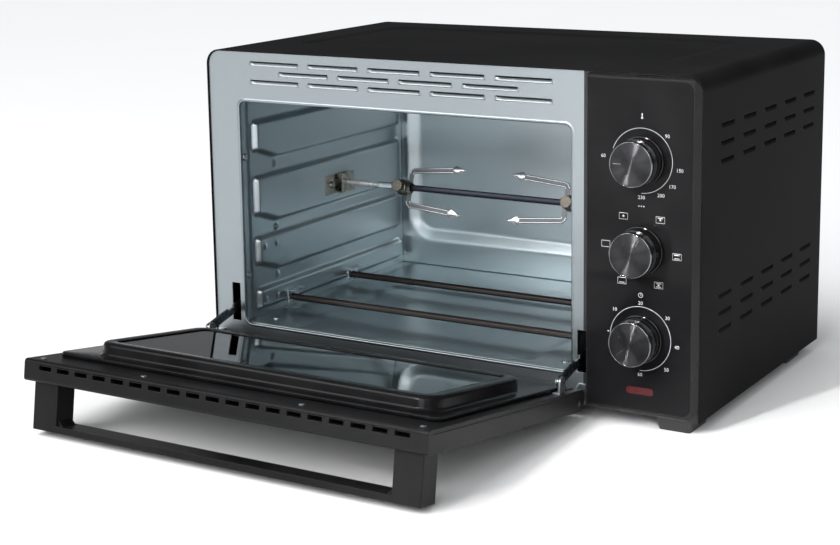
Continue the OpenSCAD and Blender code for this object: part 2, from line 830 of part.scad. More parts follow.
module terminal_block() {
    color(ceramic) oven() difference() {
        box(gland_x - 22, gland_x + 22, body_d - 48, body_d - 30, case_z0 + sheet, case_z0 + sheet + 15);
        for (i = [-1, 0, 1]) {
            rod_y(body_d - 49, body_d - 29, gland_x + i * 13, case_z0 + 8, 2.2);
            rod_z(case_z0 + 9, case_z0 + 20, gland_x + i * 13, body_d - 39, 2.6);
        }
    }
}

// Inlet for the mains lead; the lead itself is not part of this model.
module cord_gland() {
    color(coal) oven() difference() {
        union() {
            rod_y(body_d - sheet - 4, body_d - sheet, gland_x, gland_z, gland_r + 2);
            rod_y(body_d - sheet, body_d, gland_x, gland_z, gland_r - 0.05);
            rod_y(body_d, body_d + 3, gland_x, gland_z, gland_r + 2.5);
            rod_y(body_d + 3, body_d + gland_out, gland_x, gland_z, gland_r - 1);
        }
        rod_y(body_d - 10, body_d + gland_out + 1, gland_x, gland_z, 3.7);
    }
}

wire_r = 1.3;

module corner(x, y, z) { translate([x, y, z]) sphere(wire_r, $fn = 24); }

// One lead that runs back along y, up along z, then forward to a control.
module lead(x, y0, y1, z0, z1) {
    rod_y(y1, body_d - 50, x, z0, wire_r);
    corner(x, y1, z0);
    rod_z(min(z0, z1), max(z0, z1), x, y1, wire_r);
    corner(x, y1, z1);
    rod_y(y0, y1, x, z1, wire_r);
}

module wire_harness() {
    color([0.6, 0.12, 0.1]) oven() {
        lead(knob_x - 9.7, ctrl_y0 + 24, ctrl_y0 + 80, case_z0 + 8, knob_z[0] + 6);
        lead(knob_x - 1.7, ctrl_y0 + 35, ctrl_y0 + 72, case_z0 + 11, knob_z[1] + 9);
        lead(knob_x + 6.3, ctrl_y0 + 45, ctrl_y0 + 64, case_z0 + 14,
             knob_z[2] + timer_lug_up);
        rod_z(case_z0 + 30, body_h - 60, half_w - 16, body_d - 90, wire_r * 1.6);
    }
}

module spit_bracket() {
    x = cav_x0 + field_h;
    color(brass) oven() {
        difference() {
            box(x, x + 1.2, spit_y - 32, spit_y + 11, spit_z - 10, spit_z + 10);
            rod_x(x - 1, x + 3, spit_y, spit_z, journal_r + 1.5);
        }
        difference() {
            box(x + 5.6, x + 6.8, spit_y - 11, spit_y + 11, spit_z - 10, spit_z + 10);
            rod_x(x + 5, x + 8, spit_y, spit_z, journal_r + run_gap);
            box(x + 5, x + 8, spit_y - journal_r - 0.3, spit_y + journal_r + 0.3, spit_z, spit_z + 11);
        }
        box(x + 1.2, x + 5.6, spit_y - 11, spit_y + 11, spit_z - 10, spit_z - 8.8);
        translate([x + 1.2, spit_y - 22, spit_z]) rotate([0, 90, 0]) pan_head(screw_head_r, 2.2);
    }
}

// ---------------------------------------------------------------- door, built as x, -s, n

module door_box(x0, x1, s0, s1, n0, n1) { box(x0, x1, -s1, -s0, n0, n1); }

slot_pitch = 19.5;
edge_slot_w = 13.5;
edge_slot_n = 6.1;
edge_slot_h = 5;
notch_clear = 0.5;
skin_t = 5.6;
pocket_in = 14;

module door_outline_s() {
    hull() {
        translate([-door_reach + door_r, n_out + door_r]) circle(door_r);
        translate([-door_reach + door_r, n_in - door_r]) circle(door_r);
        translate([door_tail - 5, n_out + 5]) circle(5);
        translate([door_tail - 5, n_in - 5]) circle(5);
    }
}

module door_frame() {
    color(coal) on_door() difference() {
        along_x(door_x0, door_x1) door_outline_s();
        door_box(door_x0 + pocket_in, door_x1 - pocket_in, 8, step_s1 - 5, n_out + skin_t, n_in + 1);
        door_box(win_x0, win_x1, win_s0, win_s1, n_out - 1, n_in + 1);
        door_box(pane_x0, pane_x1, pane_s0, pane_s1, n_out - 1, n_out + glass_t + lay_gap);
        door_box(door_x0 + 8, door_x1 - 8, step_s1 + 4, door_reach - 5, n_out + 4, n_in - 2);
        for (i = [0:edge_slots - 1]) {
            x = (door_x0 + door_x1) / 2 + (i - (edge_slots - 1) / 2) * slot_pitch;
            door_box(x - edge_slot_w / 2, x + edge_slot_w / 2, door_reach - 8, door_reach + 1,
                     edge_slot_n - edge_slot_h / 2, edge_slot_n + edge_slot_h / 2);
        }
        for (x = ear_x) {
            door_box(x - notch_clear, x + ear_t + notch_clear, -door_tail - 1, 14, n_out + 1.6, n_in + 1);
        }
        rod_x(door_x0 - 1, door_x0 + pin_len + lay_gap, 0, 0, pin_r);
        rod_x(door_x1 - pin_len - lay_gap, door_x1 + 1, 0, 0, pin_r);
    }
}

step_r = 8;

module inner_pan() {
    color(black) on_door() {
        difference() {
            union() {
                along_z(n_in, n_step) round_rect(step_x0, step_x1, -step_s1, -step_s0, step_r);
                along_z(n_in, n_pan) round_rect(pan_x0, pan_x1, -pan_s1, -pan_s0, pan_r);
            }
            along_z(n_in - 1, n_step - pan_t)
                round_rect(step_x0 + pan_t, step_x1 - pan_t, -step_s1 + pan_t, -step_s0 - pan_t,
                           step_r - pan_t);
            along_z(n_in - 1, n_pan - pan_t)
                round_rect(pan_x0 + pan_t, pan_x1 - pan_t, -pan_s1 + pan_t, -pan_s0 - pan_t, pan_r - pan_t);
            along_z(n_in - 1, n_pan + 1)
                round_rect(pan_x0 + pan_rim, pan_x1 - pan_rim, -pan_s1 + pan_rim, -pan_s0 - pan_rim,
                           pan_r - 8);
        }
    }
}

module inner_glass() {
    edge = pan_t + 2;
    color(smoke) on_door() along_z(n_pan - pan_t - glass_t, n_pan - pan_t)
        round_rect(pan_x0 + edge, pan_x1 - edge, -pan_s1 + edge, -pan_s0 - edge, pan_r - edge);
}

module outer_glass() {
    color(smoke) on_door() along_z(n_out, n_out + glass_t)
        round_rect(pane_x0 + lay_gap, pane_x1 - lay_gap, -pane_s1 + lay_gap, -pane_s0 - lay_gap, 1);
}

post_x = [door_x0 + post_in, door_x1 - post_in - 1.2 - post_w];

module handle() {
    r = 1.5;
    color(coal) on_door() {
        for (x = post_x) along_z(grip_n0 + grip_t, n_out) round_rect(x, x + post_w, -grip_s1, -grip_s0, r);
        along_z(grip_n0, grip_n0 + grip_t) round_rect(post_x[0], post_x[1] + post_w, -grip_s1, -grip_s0, r);
        for (i = [0, 1]) {
            x = i == 0 ? post_x[0] + post_w : post_x[1];
            side = i == 0 ? 1 : -1;
            along_y(-grip_s1 + 3, -grip_s0 - 3) polygon([[x - side * 0.5, grip_n0 + grip_t - 0.5],
                [x + side * 5, grip_n0 + grip_t - 0.5], [x + side * 5, grip_n0 + grip_t],
                [x, grip_n0 + grip_t + 5], [x - side * 0.5, grip_n0 + grip_t + 5]]);
        }
    }
}

door_screw_s = door_reach - 10;

module door_screws() {
    color(zinc) on_door() for (x = [-door_w / 2 + 12, -78, 78, door_w / 2 - 12])
        translate([(door_x0 + door_x1) / 2 + x, -door_screw_s, n_in]) pan_head(2.6, 1);
}

module door_pins() {
    color(zinc) on_door() {
        rod_x(door_x0 + 0.4, door_x0 + pin_len, 0, 0, pin_r);
        rod_x(door_x1 - pin_len, door_x1 - 0.4, 0, 0, pin_r);
    }
}

// Rivet bracket of one hinge arm; it goes through the slot in the front steel as the door closes.
module arm_foot(x, base_n) {
    door_box(x - 2.4, x + arm_t + 2.6, foot_s - 5.5, foot_s + 5.5, base_n, base_n + foot_t);
    door_box(x + arm_t + 0.4, x + arm_t + 2.2, foot_s - 5, foot_s + 5, base_n, foot_n);
    rod_x(x + arm_t + 0.4, x + arm_t + 2.2, -foot_s, foot_n, 5);
    rod_x(x - 1.5, x + arm_t + 2.2, -foot_s, foot_n, rivet_r);
    rod_x(x - 1.5, x - 0.4, -foot_s, foot_n, 3.4);
}

module arm_feet() {
    color(zinc) on_door() {
        arm_foot(arm_x[0], n_step);
        arm_foot(arm_x[1], n_in);
    }
}

// Where an arm's rivet is with the door open.
rivet_y = -pivot_out - foot_s * cos(open_tilt) + foot_n * sin(open_tilt);
rivet_z = pivot_z + foot_s * sin(open_tilt) + foot_n * cos(open_tilt);

module hinge_arm(x) {
    color(zinc) oven() translate([0, rivet_y, rivet_z]) rotate([arm_rise, 0, 0]) difference() {
        along_x(x, x + arm_t) {
            circle(arm_hh);
            translate([0, -arm_hh]) square([arm_len - arm_hh, 2 * arm_hh]);
            translate([arm_len - arm_hh, 0]) circle(arm_hh);
        }
        rod_x(x - 1, x + arm_t + 1, 0, 0, rivet_r + run_gap);
        rod_x(x - 1, x + arm_t + 1, arm_len - arm_hh, 0, 1.6);
        box(x - 1, x + arm_t + 1, arm_len - 26, arm_len - 18, arm_hh - 2, arm_hh + 1);
    }
}

module arm_left() { hinge_arm(arm_x[0]); }

module arm_right() { hinge_arm(arm_x[1]); }

// ---------------------------------------------------------------- rotisserie, built along x

module on_spit() { oven() translate([0, spit_y, spit_z]) rotate([-fork_turn, 0, 0]) children(); }

flange_x = spit_x0 + 8.4;

module spit_rod() {
    color(chrome) on_spit() {
        rod_x(spit_x0, flange_x, 0, 0, journal_r);
        rod_x(flange_x, neck_x, 0, 0, spit_a / 2 + 0.2);
        rod_x(neck_x, neck_x + neck_l, 0, 0, 2);
        box(neck_x + neck_l, spit_x1 - 4, -spit_a / 2, spit_a / 2, -spit_a / 2, spit_a / 2);
    }
}

prong_w = 6;
prong_t = 1.5;
flare = 5;
tip_l = 15;
tip_w = 10;

// Half of a fork in the plane of its prongs, from the hub outwards; it is drawn at +z.
module fork_half() {
    along_y(-prong_t / 2, prong_t / 2) {
        translate([0, -0.1]) square([prong_w, fork_span / 2 + prong_w / 2]);
        translate([prong_w / 2, fork_span / 2]) rotate(flare) {
            translate([-prong_w / 2, -prong_w / 2]) square([prong_l - tip_l + prong_w / 2, prong_w]);
            translate([prong_l - tip_l - 0.1, 0]) polygon([[0, -prong_w / 2], [3, -tip_w / 2], [tip_l, 0],
                                                           [3, tip_w / 2], [0, prong_w / 2]]);
        }
    }
    translate([prong_w / 2, 0, fork_span / 2]) rotate([0, -flare, 0])
        box(0, prong_l - tip_l, -prong_t / 2 - 0.8, -prong_t / 2 + 0.1, -0.9, 0.9);
}

// Fork with its hub at the origin and its prongs towards +x.
module fork() {
    hole = spit_a / 2 + slide_gap;
    difference() {
        union() {
            rod_x(-hub_w / 2, hub_w / 2, 0, 0, hub_r);
            translate([hub_w / 2 - 1, 0, 0]) {
                fork_half();
                mirror([0, 0, 1]) fork_half();
            }
        }
        box(-hub_w, hub_w * 2, -hole, hole, -hole, hole);
        rod_y(-hub_r - 1, 0, 0, 0, screw_r + run_gap);
    }
}

module fork_left() { color(chrome) on_spit() translate([fork_x[0], 0, 0]) fork(); }

module fork_right() { color(chrome) on_spit() translate([fork_x[1], 0, 0]) mirror([1, 0, 0]) fork(); }

head_r = 5.5;
head_t = 4.5;
knurls = 12;

module thumb_screw(x) {
    color(brass) on_spit() translate([x, 0, 0]) {
        rod_y(-hub_r - 3, -spit_a / 2 - slide_gap, 0, 0, screw_r);
        rod_y(-hub_r - 3 - head_t, -hub_r - 3, 0, 0, head_r);
        for (i = [0:knurls - 1]) rotate([0, i * 360 / knurls, 0])
            rod_y(-hub_r - 2.8 - head_t, -hub_r - 3.2, head_r, 0, 0.8);
    }
}

module thumb_left() { thumb_screw(fork_x[0]); }

module thumb_right() { thumb_screw(fork_x[1]); }

socket_deep = 18;

module drive_socket() {
    hole = spit_a / 2 + slide_gap;
    color(zinc) on_spit() difference() {
        union() {
            rod_x(cav_x1 - socket_in, cav_x1 + 8, 0, 0, socket_r);
            rod_x(cav_x1 + 8, motor_x0 + 8, 0, 0, 3);
        }
        box(cav_x1 - socket_in - 1, cav_x1 - socket_in + socket_deep, -hole, hole, -hole, hole);
    }
}

// ---------------------------------------------------------------- controls that turn

face_in = 1.4;
face_r = knob_d / 2 - 3.4;
ring_w = 1.4;
grooves = 2;

module control_shaft(z, depth) {
    color(zinc) oven() rod_y(knob_y0 + 6, ctrl_y0 + depth, knob_x, z, shaft_d / 2);
}

module knob(z) {
    front_r = knob_d / 2 - 1.4;
    color(black) oven() translate([knob_x, knob_y1, z]) rotate([90, 0, 0]) difference() {
        union() {
            cylinder(h = 2.5, r = knob_d / 2);
            translate([0, 0, 2.5]) cylinder(h = knob_len - 4.1, r1 = knob_d / 2 - 0.6, r2 = front_r);
            translate([0, 0, knob_len - 1.6]) cylinder(h = 1.6, r1 = front_r, r2 = front_r - ring_w);
        }
        translate([0, 0, -1]) cylinder(h = knob_len - 5, r = shaft_d / 2 + 0.05);
        translate([0, 0, -1]) difference() {
            cylinder(h = knob_len - 4, r = knob_d / 2 - 4.5);
            cylinder(h = knob_len - 4, r = shaft_d / 2 + 3);
        }
        translate([0, 0, knob_len - face_in]) cylinder(h = 3, r = face_r + 0.05);
        for (i = [0:grooves - 1]) translate([0, 0, knob_len - 5 - 2 * i]) difference() {
            cylinder(h = 0.8, r = knob_d);
            cylinder(h = 0.8, r = front_r - 0.5);
        }
    }
}

// Spun metal disc with a raised pointer line; turn is the pointer's clock angle in degrees.
module knob_face(z, turn) {
    color(coal) oven() translate([knob_x, knob_y0 + face_in, z]) rotate([90, turn, 0]) {
        cylinder(h = face_in - 0.3, r = face_r);
        translate([-0.6, 3, face_in - 0.4]) cube([1.2, face_r - 4, 0.3]);
    }
}

pointer = [270, 30, 230];

module temp_shaft() { control_shaft(knob_z[0], 7); }

module temp_knob() { knob(knob_z[0]); }

module temp_face() { knob_face(knob_z[0], pointer[0]); }

module prog_shaft() { control_shaft(knob_z[1], 9); }

module prog_knob() { knob(knob_z[1]); }

module prog_face() { knob_face(knob_z[1], pointer[1]); }

module timer_shaft() { control_shaft(knob_z[2], 11); }

module timer_knob() { knob(knob_z[2]); }

module timer_face() { knob_face(knob_z[2], pointer[2]); }

// ---------------------------------------------------------------- what is drawn

case_wrap();
front_frame();
base_plate();
back_panel();
feet();
case_screws();
cavity_left();
cavity_right();
cavity_top();
cavity_floor();
cavity_back();
cavity_screws();
heaters_upper();
heaters_lower();
heater_insulators();
heater_clips();
spit_bracket();
hinge_ears();
panel_bezel();
panel_fascia();
lamp_lens();
lamp_holder();
thermostat();
thermostat_bulb();
selector_switch();
timer_unit();
timer_bell();
spit_motor();
terminal_block();
cord_gland();
wire_harness();
door_frame();
inner_pan();
inner_glass();
outer_glass();
handle();
door_screws();
door_pins();
arm_feet();
arm_left();
arm_right();
spit_rod();
fork_left();
fork_right();
thumb_left();
thumb_right();
drive_socket();
temp_shaft();
temp_knob();
temp_face();
prog_shaft();
prog_knob();
prog_face();
timer_shaft();
timer_knob();
timer_face();
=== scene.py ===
"""Countertop rotisserie oven: finishes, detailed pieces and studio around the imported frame."""

import json
import logging
import math
from dataclasses import dataclass, field
from enum import Enum
from typing import Callable, Iterable, Optional, Sequence

import bmesh
import bpy
from mathutils import Matrix, Vector


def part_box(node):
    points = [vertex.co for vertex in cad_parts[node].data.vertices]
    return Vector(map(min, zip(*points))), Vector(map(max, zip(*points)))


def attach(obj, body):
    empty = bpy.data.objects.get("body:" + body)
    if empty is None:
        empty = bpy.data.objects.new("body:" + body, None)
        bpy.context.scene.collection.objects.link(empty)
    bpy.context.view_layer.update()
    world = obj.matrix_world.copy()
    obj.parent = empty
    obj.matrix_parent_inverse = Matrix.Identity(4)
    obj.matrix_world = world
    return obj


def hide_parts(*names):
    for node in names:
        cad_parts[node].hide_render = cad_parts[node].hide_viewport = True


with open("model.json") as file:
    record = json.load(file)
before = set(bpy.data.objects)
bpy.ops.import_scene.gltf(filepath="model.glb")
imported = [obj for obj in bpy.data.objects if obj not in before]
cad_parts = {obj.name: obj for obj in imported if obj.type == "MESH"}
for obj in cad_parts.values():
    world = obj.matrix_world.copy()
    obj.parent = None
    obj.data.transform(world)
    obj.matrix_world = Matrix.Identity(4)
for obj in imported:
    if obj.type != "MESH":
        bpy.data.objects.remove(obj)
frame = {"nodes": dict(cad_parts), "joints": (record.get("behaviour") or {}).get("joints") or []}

LOG = logging.getLogger("oven")
MM = 0.001
Socket = bpy.types.NodeSocket
Colour = tuple[float, float, float]
Point = tuple[float, float]
Ring = list[Vector]
Shape = tuple[list[Vector], list[list[int]]]


class Axis(Enum):
    """Direction a turned shape is built along."""

    X = "x"
    Y = "y"


class Side(Enum):
    """Left or right half of the oven, seen from the front."""

    LEFT = -1
    RIGHT = 1


# ---------------------------------------------------------------- node graphs


class Graph:
    """Builds one node material around a principled surface."""

    def __init__(self, name: str) -> None:
        """Starts an empty material.

        Args:
            name: Name of the material.
        """
        self.material = bpy.data.materials.new(name)
        self.material.use_nodes = True
        self.tree = self.material.node_tree
        self.tree.nodes.clear()
        self.surface = self.tree.nodes.new("ShaderNodeBsdfPrincipled")
        out = self.tree.nodes.new("ShaderNodeOutputMaterial")
        self.tree.links.new(self.surface.outputs[0], out.inputs[0])
        self.place = self.tree.nodes.new("ShaderNodeTexCoord").outputs["Object"]

    def link(self, source: Socket, target: Socket) -> None:
        """Joins two sockets."""
        self.tree.links.new(source, target)

    def set(self, **values: object) -> None:
        """Sets constants on the surface; underscores in a name stand for spaces."""
        for key, value in values.items():
            self.surface.inputs[key.replace("_", " ")].default_value = value

    def feed(self, socket: str, source: Socket) -> None:
        """Feeds a socket of the surface."""
        self.link(source, self.surface.inputs[socket])

    def noise(self, scale: float, detail: float = 3.0, stretch: Sequence[float] = (1, 1, 1),
              rough: float = 0.55) -> Socket:
        """Adds a noise read in the piece's own space.

        Args:
            scale: Grains per metre.
            detail: Octaves.
            stretch: Scale along each axis, for brushed grain.
            rough: Share of the fine octaves.

        Returns:
            The noise value, about 0.5 on average.
        """
        mapping = self.tree.nodes.new("ShaderNodeMapping")
        mapping.inputs["Scale"].default_value = stretch
        self.link(self.place, mapping.inputs["Vector"])
        node = self.tree.nodes.new("ShaderNodeTexNoise")
        node.inputs["Scale"].default_value = scale
        node.inputs["Detail"].default_value = detail
        node.inputs["Roughness"].default_value = rough
        self.link(mapping.outputs[0], node.inputs["Vector"])
        return node.outputs["Fac"]

    def span(self, value: Socket, low: float, high: float,
             start: float = 0.3, end: float = 0.7) -> Socket:
        """Maps start..end of a value to low..high.

        Args:
            value: The value to map.
            low: Result at start.
            high: Result at end.
            start: Lower end of the read range.
            end: Upper end of the read range.

        Returns:
            The mapped value.
        """
        node = self.tree.nodes.new("ShaderNodeMapRange")
        for name, number in (("From Min", start), ("From Max", end), ("To Min", low), ("To Max", high)):
            node.inputs[name].default_value = number
        self.link(value, node.inputs["Value"])
        return node.outputs["Result"]

    def math(self, kind: str, a: Socket, b: object) -> Socket:
        """Combines two values.

        Args:
            kind: Operation of the math node.
            a: First value.
            b: Second value, a socket or a number.

        Returns:
            The result.
        """
        node = self.tree.nodes.new("ShaderNodeMath")
        node.operation = kind
        self.link(a, node.inputs[0])
        if isinstance(b, (int, float)):
            node.inputs[1].default_value = b
        else:
            self.link(b, node.inputs[1])
        return node.outputs[0]

    def blend(self, factor: Socket, low: object, high: object) -> Socket:
        """Mixes two colours.

        Args:
            factor: 0 gives low, 1 gives high.
            low: A colour or a socket.
            high: A colour or a socket.

        Returns:
            The mixed colour.
        """
        node = self.tree.nodes.new("ShaderNodeMix")
        node.data_type = "RGBA"
        self.link(factor, node.inputs["Factor"])
        for socket, source in ((node.inputs[6], low), (node.inputs[7], high)):
            if isinstance(source, tuple):
                socket.default_value = (*source, 1.0)
            else:
                self.link(source, socket)
        return node.outputs[2]

    def bump(self, height: Socket, strength: float, depth: float,
             normal: Optional[Socket] = None) -> Socket:
        """Adds a bump.

        Args:
            height: Height, 0 to 1.
            strength: Strength of the effect.
            depth: Depth of a full step, metres.
            normal: Normal to start from.

        Returns:
            The bumped normal.
        """
        node = self.tree.nodes.new("ShaderNodeBump")
        node.inputs["Strength"].default_value = strength
        node.inputs["Distance"].default_value = depth
        self.link(height, node.inputs["Height"])
        if normal is not None:
            self.link(normal, node.inputs["Normal"])
        return node.outputs[0]

    def edges_for_wear_and_highlight(self, radius: float) -> tuple[Socket, Socket]:
        """Finds the edges of a piece, which some finishes lighten as wear and as a painted highlight.

        Args:
            radius: How far an edge reaches, metres.

        Returns:
            A mask that is 1 on edges, and the rounded normal.
        """
        bevel = self.tree.nodes.new("ShaderNodeBevel")
        bevel.samples = 6
        bevel.inputs["Radius"].default_value = radius
        geometry = self.tree.nodes.new("ShaderNodeNewGeometry")
        dot = self.tree.nodes.new("ShaderNodeVectorMath")
        dot.operation = "DOT_PRODUCT"
        self.link(bevel.outputs[0], dot.inputs[0])
        self.link(geometry.outputs["Normal"], dot.inputs[1])
        return self.span(dot.outputs["Value"], 0.0, 1.0, 0.995, 0.8), bevel.outputs[0]


# ---------------------------------------------------------------- finishes


@dataclass(frozen=True)
class Finish:
    """A finish with its name, record slot, colour and roughness."""

    name: str
    slot: str
    colour: Colour
    roughness: float
    edge: float = 0.5 * MM

    def material(self) -> bpy.types.Material:
        """Returns the material, made on first use."""
        found = bpy.data.materials.get(self.name)
        if found is not None:
            return found
        graph = Graph(self.name)
        self.dress(graph)
        return graph.material

    def lighter(self, share: float) -> Colour:
        """Returns the colour moved towards white by a share."""
        return tuple(c + (1 - c) * share for c in self.colour)

    def darker(self, share: float) -> Colour:
        """Returns the colour scaled down by a share."""
        return tuple(c * (1 - share) for c in self.colour)

    def dress(self, graph: Graph) -> None:
        """Fills the graph.

        Args:
            graph: The graph of this finish.
        """
        raise NotImplementedError


@dataclass(frozen=True)
class Paint(Finish):
    """Stove paint or moulded plastic: fine peel, cloudy sheen, rubbed edges with a painted highlight."""

    peel: float = 0.3
    grain: float = 2600.0
    rub_and_highlight: float = 0.03
    specular: float = 0.5

    def dress(self, graph: Graph) -> None:
        """Builds the paint."""
        cloud = graph.noise(9.0, 4.0)
        fine = graph.noise(self.grain, 2.0)
        edge, rounded = graph.edges_for_wear_and_highlight(self.edge)
        # edges lightened in patches: partly rubbed wear, partly a painted highlight on the edges
        scuff_and_highlight = graph.math("MULTIPLY", edge, graph.span(graph.noise(130.0, 4.0), 0.3, 1.0))
        body = graph.blend(graph.span(cloud, 0.0, 1.0), self.darker(0.18), self.lighter(0.006))
        graph.feed("Base Color", graph.blend(scuff_and_highlight, body, self.lighter(self.rub_and_highlight)))
        mottled = graph.math("ADD", graph.span(cloud, -0.03, 0.03), graph.span(fine, -0.05, 0.05))
        graph.feed("Roughness", graph.math("ADD", mottled, self.roughness))
        graph.feed("Normal", graph.bump(fine, self.peel, 0.05 * MM, rounded))
        graph.set(Specular_IOR_Level=self.specular)


@dataclass(frozen=True)
class Gloss(Finish):
    """High gloss plastic or enamel: mirror coat with faint waves and dust."""

    wave: float = 0.12
    dust: float = 0.02
    specular: float = 0.5
    coat: float = 0.3

    def dress(self, graph: Graph) -> None:
        """Builds the gloss."""
        slow = graph.noise(26.0, 2.0)
        speck = graph.span(graph.noise(1500.0, 2.0), 0.0, 1.0, 0.66, 0.78)
        edge, rounded = graph.edges_for_wear_and_highlight(self.edge)
        body = graph.blend(graph.span(slow, 0.0, 1.0), self.colour, self.lighter(0.004))
        graph.feed("Base Color", graph.blend(graph.math("MULTIPLY", speck, self.dust), body, (0.5, 0.5, 0.5)))
        haze = graph.math("ADD", graph.span(slow, -0.01, 0.02), graph.math("MULTIPLY", edge, 0.06))
        graph.feed("Roughness", graph.math("ADD", haze, self.roughness))
        graph.feed("Normal", graph.bump(slow, self.wave, 0.25 * MM, rounded))
        graph.set(Specular_IOR_Level=self.specular, Coat_Weight=self.coat, Coat_Roughness=0.04)


@dataclass(frozen=True)
class Steel(Finish):
    """Bare, plated or coated metal sheet with rolled grain, soft stains and a painted highlight on its edges.
    """

    grain: tuple[float, float, float] = (1.0, 1.0, 14.0)
    fine: float = 420.0
    stain: float = 0.12
    tint: Colour = (0.5, 0.56, 0.6)
    scratch: float = 0.18
    streak: float = 0.12
    haze: float = 0.03
    metallic: float = 1.0

    def dress(self, graph: Graph) -> None:
        """Builds the metal."""
        cloud = graph.noise(11.0, 5.0)
        grain = graph.noise(self.fine, 4.0, self.grain)
        spangle = graph.noise(170.0, 2.0)
        aged = graph.blend(graph.span(cloud, 0.0, self.stain * 4), self.colour, self.tint)
        body = graph.blend(graph.span(grain, 0.0, self.streak), aged, self.darker(0.3))
        rounded = None
        if self.edge:
            edge, rounded = graph.edges_for_wear_and_highlight(self.edge)
            # painted highlight: the edges are lightened towards white
            body = graph.blend(graph.math("MULTIPLY", edge, 0.5), body, self.lighter(0.35))
        self.colour_over(graph, body)
        haze = self.haze
        mottled = graph.math("ADD", graph.span(cloud, -haze, haze), graph.span(grain, -haze, haze))
        mottled = graph.math("ADD", mottled, graph.span(spangle, -haze / 2, haze / 2))
        graph.feed("Roughness", graph.math("ADD", mottled, self.roughness))
        graph.feed("Normal", graph.bump(grain, self.scratch, 0.03 * MM, rounded))

    def colour_over(self, graph: Graph, body: Socket) -> None:
        """Feeds the colour; a sheet may be painted over in places.

        Args:
            graph: The graph of this finish.
            body: Colour of the bare metal.
        """
        graph.feed("Base Color", body)
        graph.set(Metallic=self.metallic)


@dataclass(frozen=True)
class HalfPainted(Steel):
    """Bare sheet that is painted black beyond one x, behind the control panel."""

    paint: Colour = (0.012, 0.012, 0.013)
    bare_to: float = 0.1435

    def colour_over(self, graph: Graph, body: Socket) -> None:
        """Mixes paint over the metal.

        Args:
            graph: The graph of this finish.
            body: Colour of the bare metal.
        """
        split = graph.tree.nodes.new("ShaderNodeSeparateXYZ")
        graph.link(graph.place, split.inputs[0])
        painted = graph.math("GREATER_THAN", split.outputs["X"], self.bare_to)
        graph.feed("Base Color", graph.blend(painted, body, self.paint))
        graph.feed("Metallic", graph.span(painted, self.metallic, 0.0, 0.0, 1.0))


@dataclass(frozen=True)
class Spun(Finish):
    """Metal disc spun on a lathe, with fine rings that fan the light."""

    anisotropy: float = 0.85

    def dress(self, graph: Graph) -> None:
        """Builds the spun metal."""
        tangent = graph.tree.nodes.new("ShaderNodeTangent")
        tangent.direction_type = "RADIAL"
        tangent.axis = "Y"
        graph.feed("Tangent", tangent.outputs[0])
        fine = graph.noise(900.0, 3.0)
        cloud = graph.noise(60.0, 3.0)
        body = graph.blend(graph.span(cloud, 0.0, 1.0), self.darker(0.2), self.lighter(0.03))
        graph.feed("Base Color", body)
        graph.feed("Roughness", graph.math("ADD", graph.span(fine, -0.04, 0.04), self.roughness))
        graph.feed("Normal", graph.bump(fine, 0.1, 0.02 * MM))
        graph.set(Metallic=1.0, Anisotropic=self.anisotropy, Anisotropic_Rotation=0.25)


@dataclass(frozen=True)
class Glass(Finish):
    """Tinted toughened glass with faint smears."""

    def dress(self, graph: Graph) -> None:
        """Builds the glass."""
        smear = graph.noise(18.0, 4.0, (1.0, 0.4, 1.0))
        graph.feed("Base Color", graph.blend(graph.span(smear, 0.0, 1.0), self.darker(0.15), self.colour))
        graph.feed("Roughness", graph.span(smear, self.roughness, self.roughness + 0.03))
        graph.feed("Normal", graph.bump(graph.noise(12.0, 1.0), 0.03, 0.2 * MM))
        graph.set(Transmission_Weight=1.0, IOR=1.5)


@dataclass(frozen=True)
class Rod(Finish):
    """Heater sheath: brown oxide with burnt and grey patches."""

    burnt: Colour = (0.035, 0.024, 0.02)

    def dress(self, graph: Graph) -> None:
        """Builds the oxide."""
        patch = graph.noise(45.0, 5.0, (0.35, 1.0, 1.0))
        fine = graph.noise(1300.0, 3.0)
        body = graph.blend(graph.span(patch, 0.0, 1.0), self.burnt, self.colour)
        graph.feed("Base Color", graph.blend(graph.span(fine, 0.0, 0.35), body, self.lighter(0.05)))
        graph.feed("Roughness", graph.span(patch, self.roughness - 0.1, self.roughness + 0.12))
        graph.feed("Normal", graph.bump(fine, 0.35, 0.06 * MM))
        graph.set(Metallic=0.55)


@dataclass(frozen=True)
class Ink(Finish):
    """Pad-printed ink, slightly uneven."""

    def dress(self, graph: Graph) -> None:
        """Builds the ink."""
        fine = graph.noise(2400.0, 3.0)
        graph.feed("Base Color", graph.blend(graph.span(fine, 0.0, 1.0), self.darker(0.3), self.colour))
        graph.feed("Roughness", graph.span(fine, self.roughness - 0.08, self.roughness + 0.08))
        graph.feed("Normal", graph.bump(fine, 0.2, 0.02 * MM))


@dataclass(frozen=True)
class Lens(Finish):
    """Moulded translucent plastic with ribs inside."""

    def dress(self, graph: Graph) -> None:
        """Builds the lens."""
        ribs = graph.noise(300.0, 1.0, (1.0, 0.02, 0.02))
        _, rounded = graph.edges_for_wear_and_highlight(self.edge)
        body = graph.blend(graph.span(ribs, 0.0, 1.0), self.darker(0.12), self.lighter(0.015))
        graph.feed("Base Color", body)
        graph.feed("Roughness", graph.span(ribs, self.roughness, self.roughness + 0.1))
        graph.feed("Normal", graph.bump(ribs, 0.08, 0.05 * MM, rounded))
        graph.set(Subsurface_Weight=0.2, Subsurface_Scale=0.8 * MM, Specular_IOR_Level=0.25,
                  Coat_Weight=0.12)


@dataclass(frozen=True)
class Floor(Finish):
    """Plain pale studio floor."""

    def dress(self, graph: Graph) -> None:
        """Builds the floor paper."""
        paper = graph.noise(3.0, 3.0)
        graph.feed("Base Color", graph.blend(graph.span(paper, 0.0, 1.0), self.darker(0.01), self.colour))
        graph.feed("Roughness", graph.span(graph.noise(700.0, 2.0), self.roughness - 0.05, self.roughness))
        graph.set(Specular_IOR_Level=0.2)


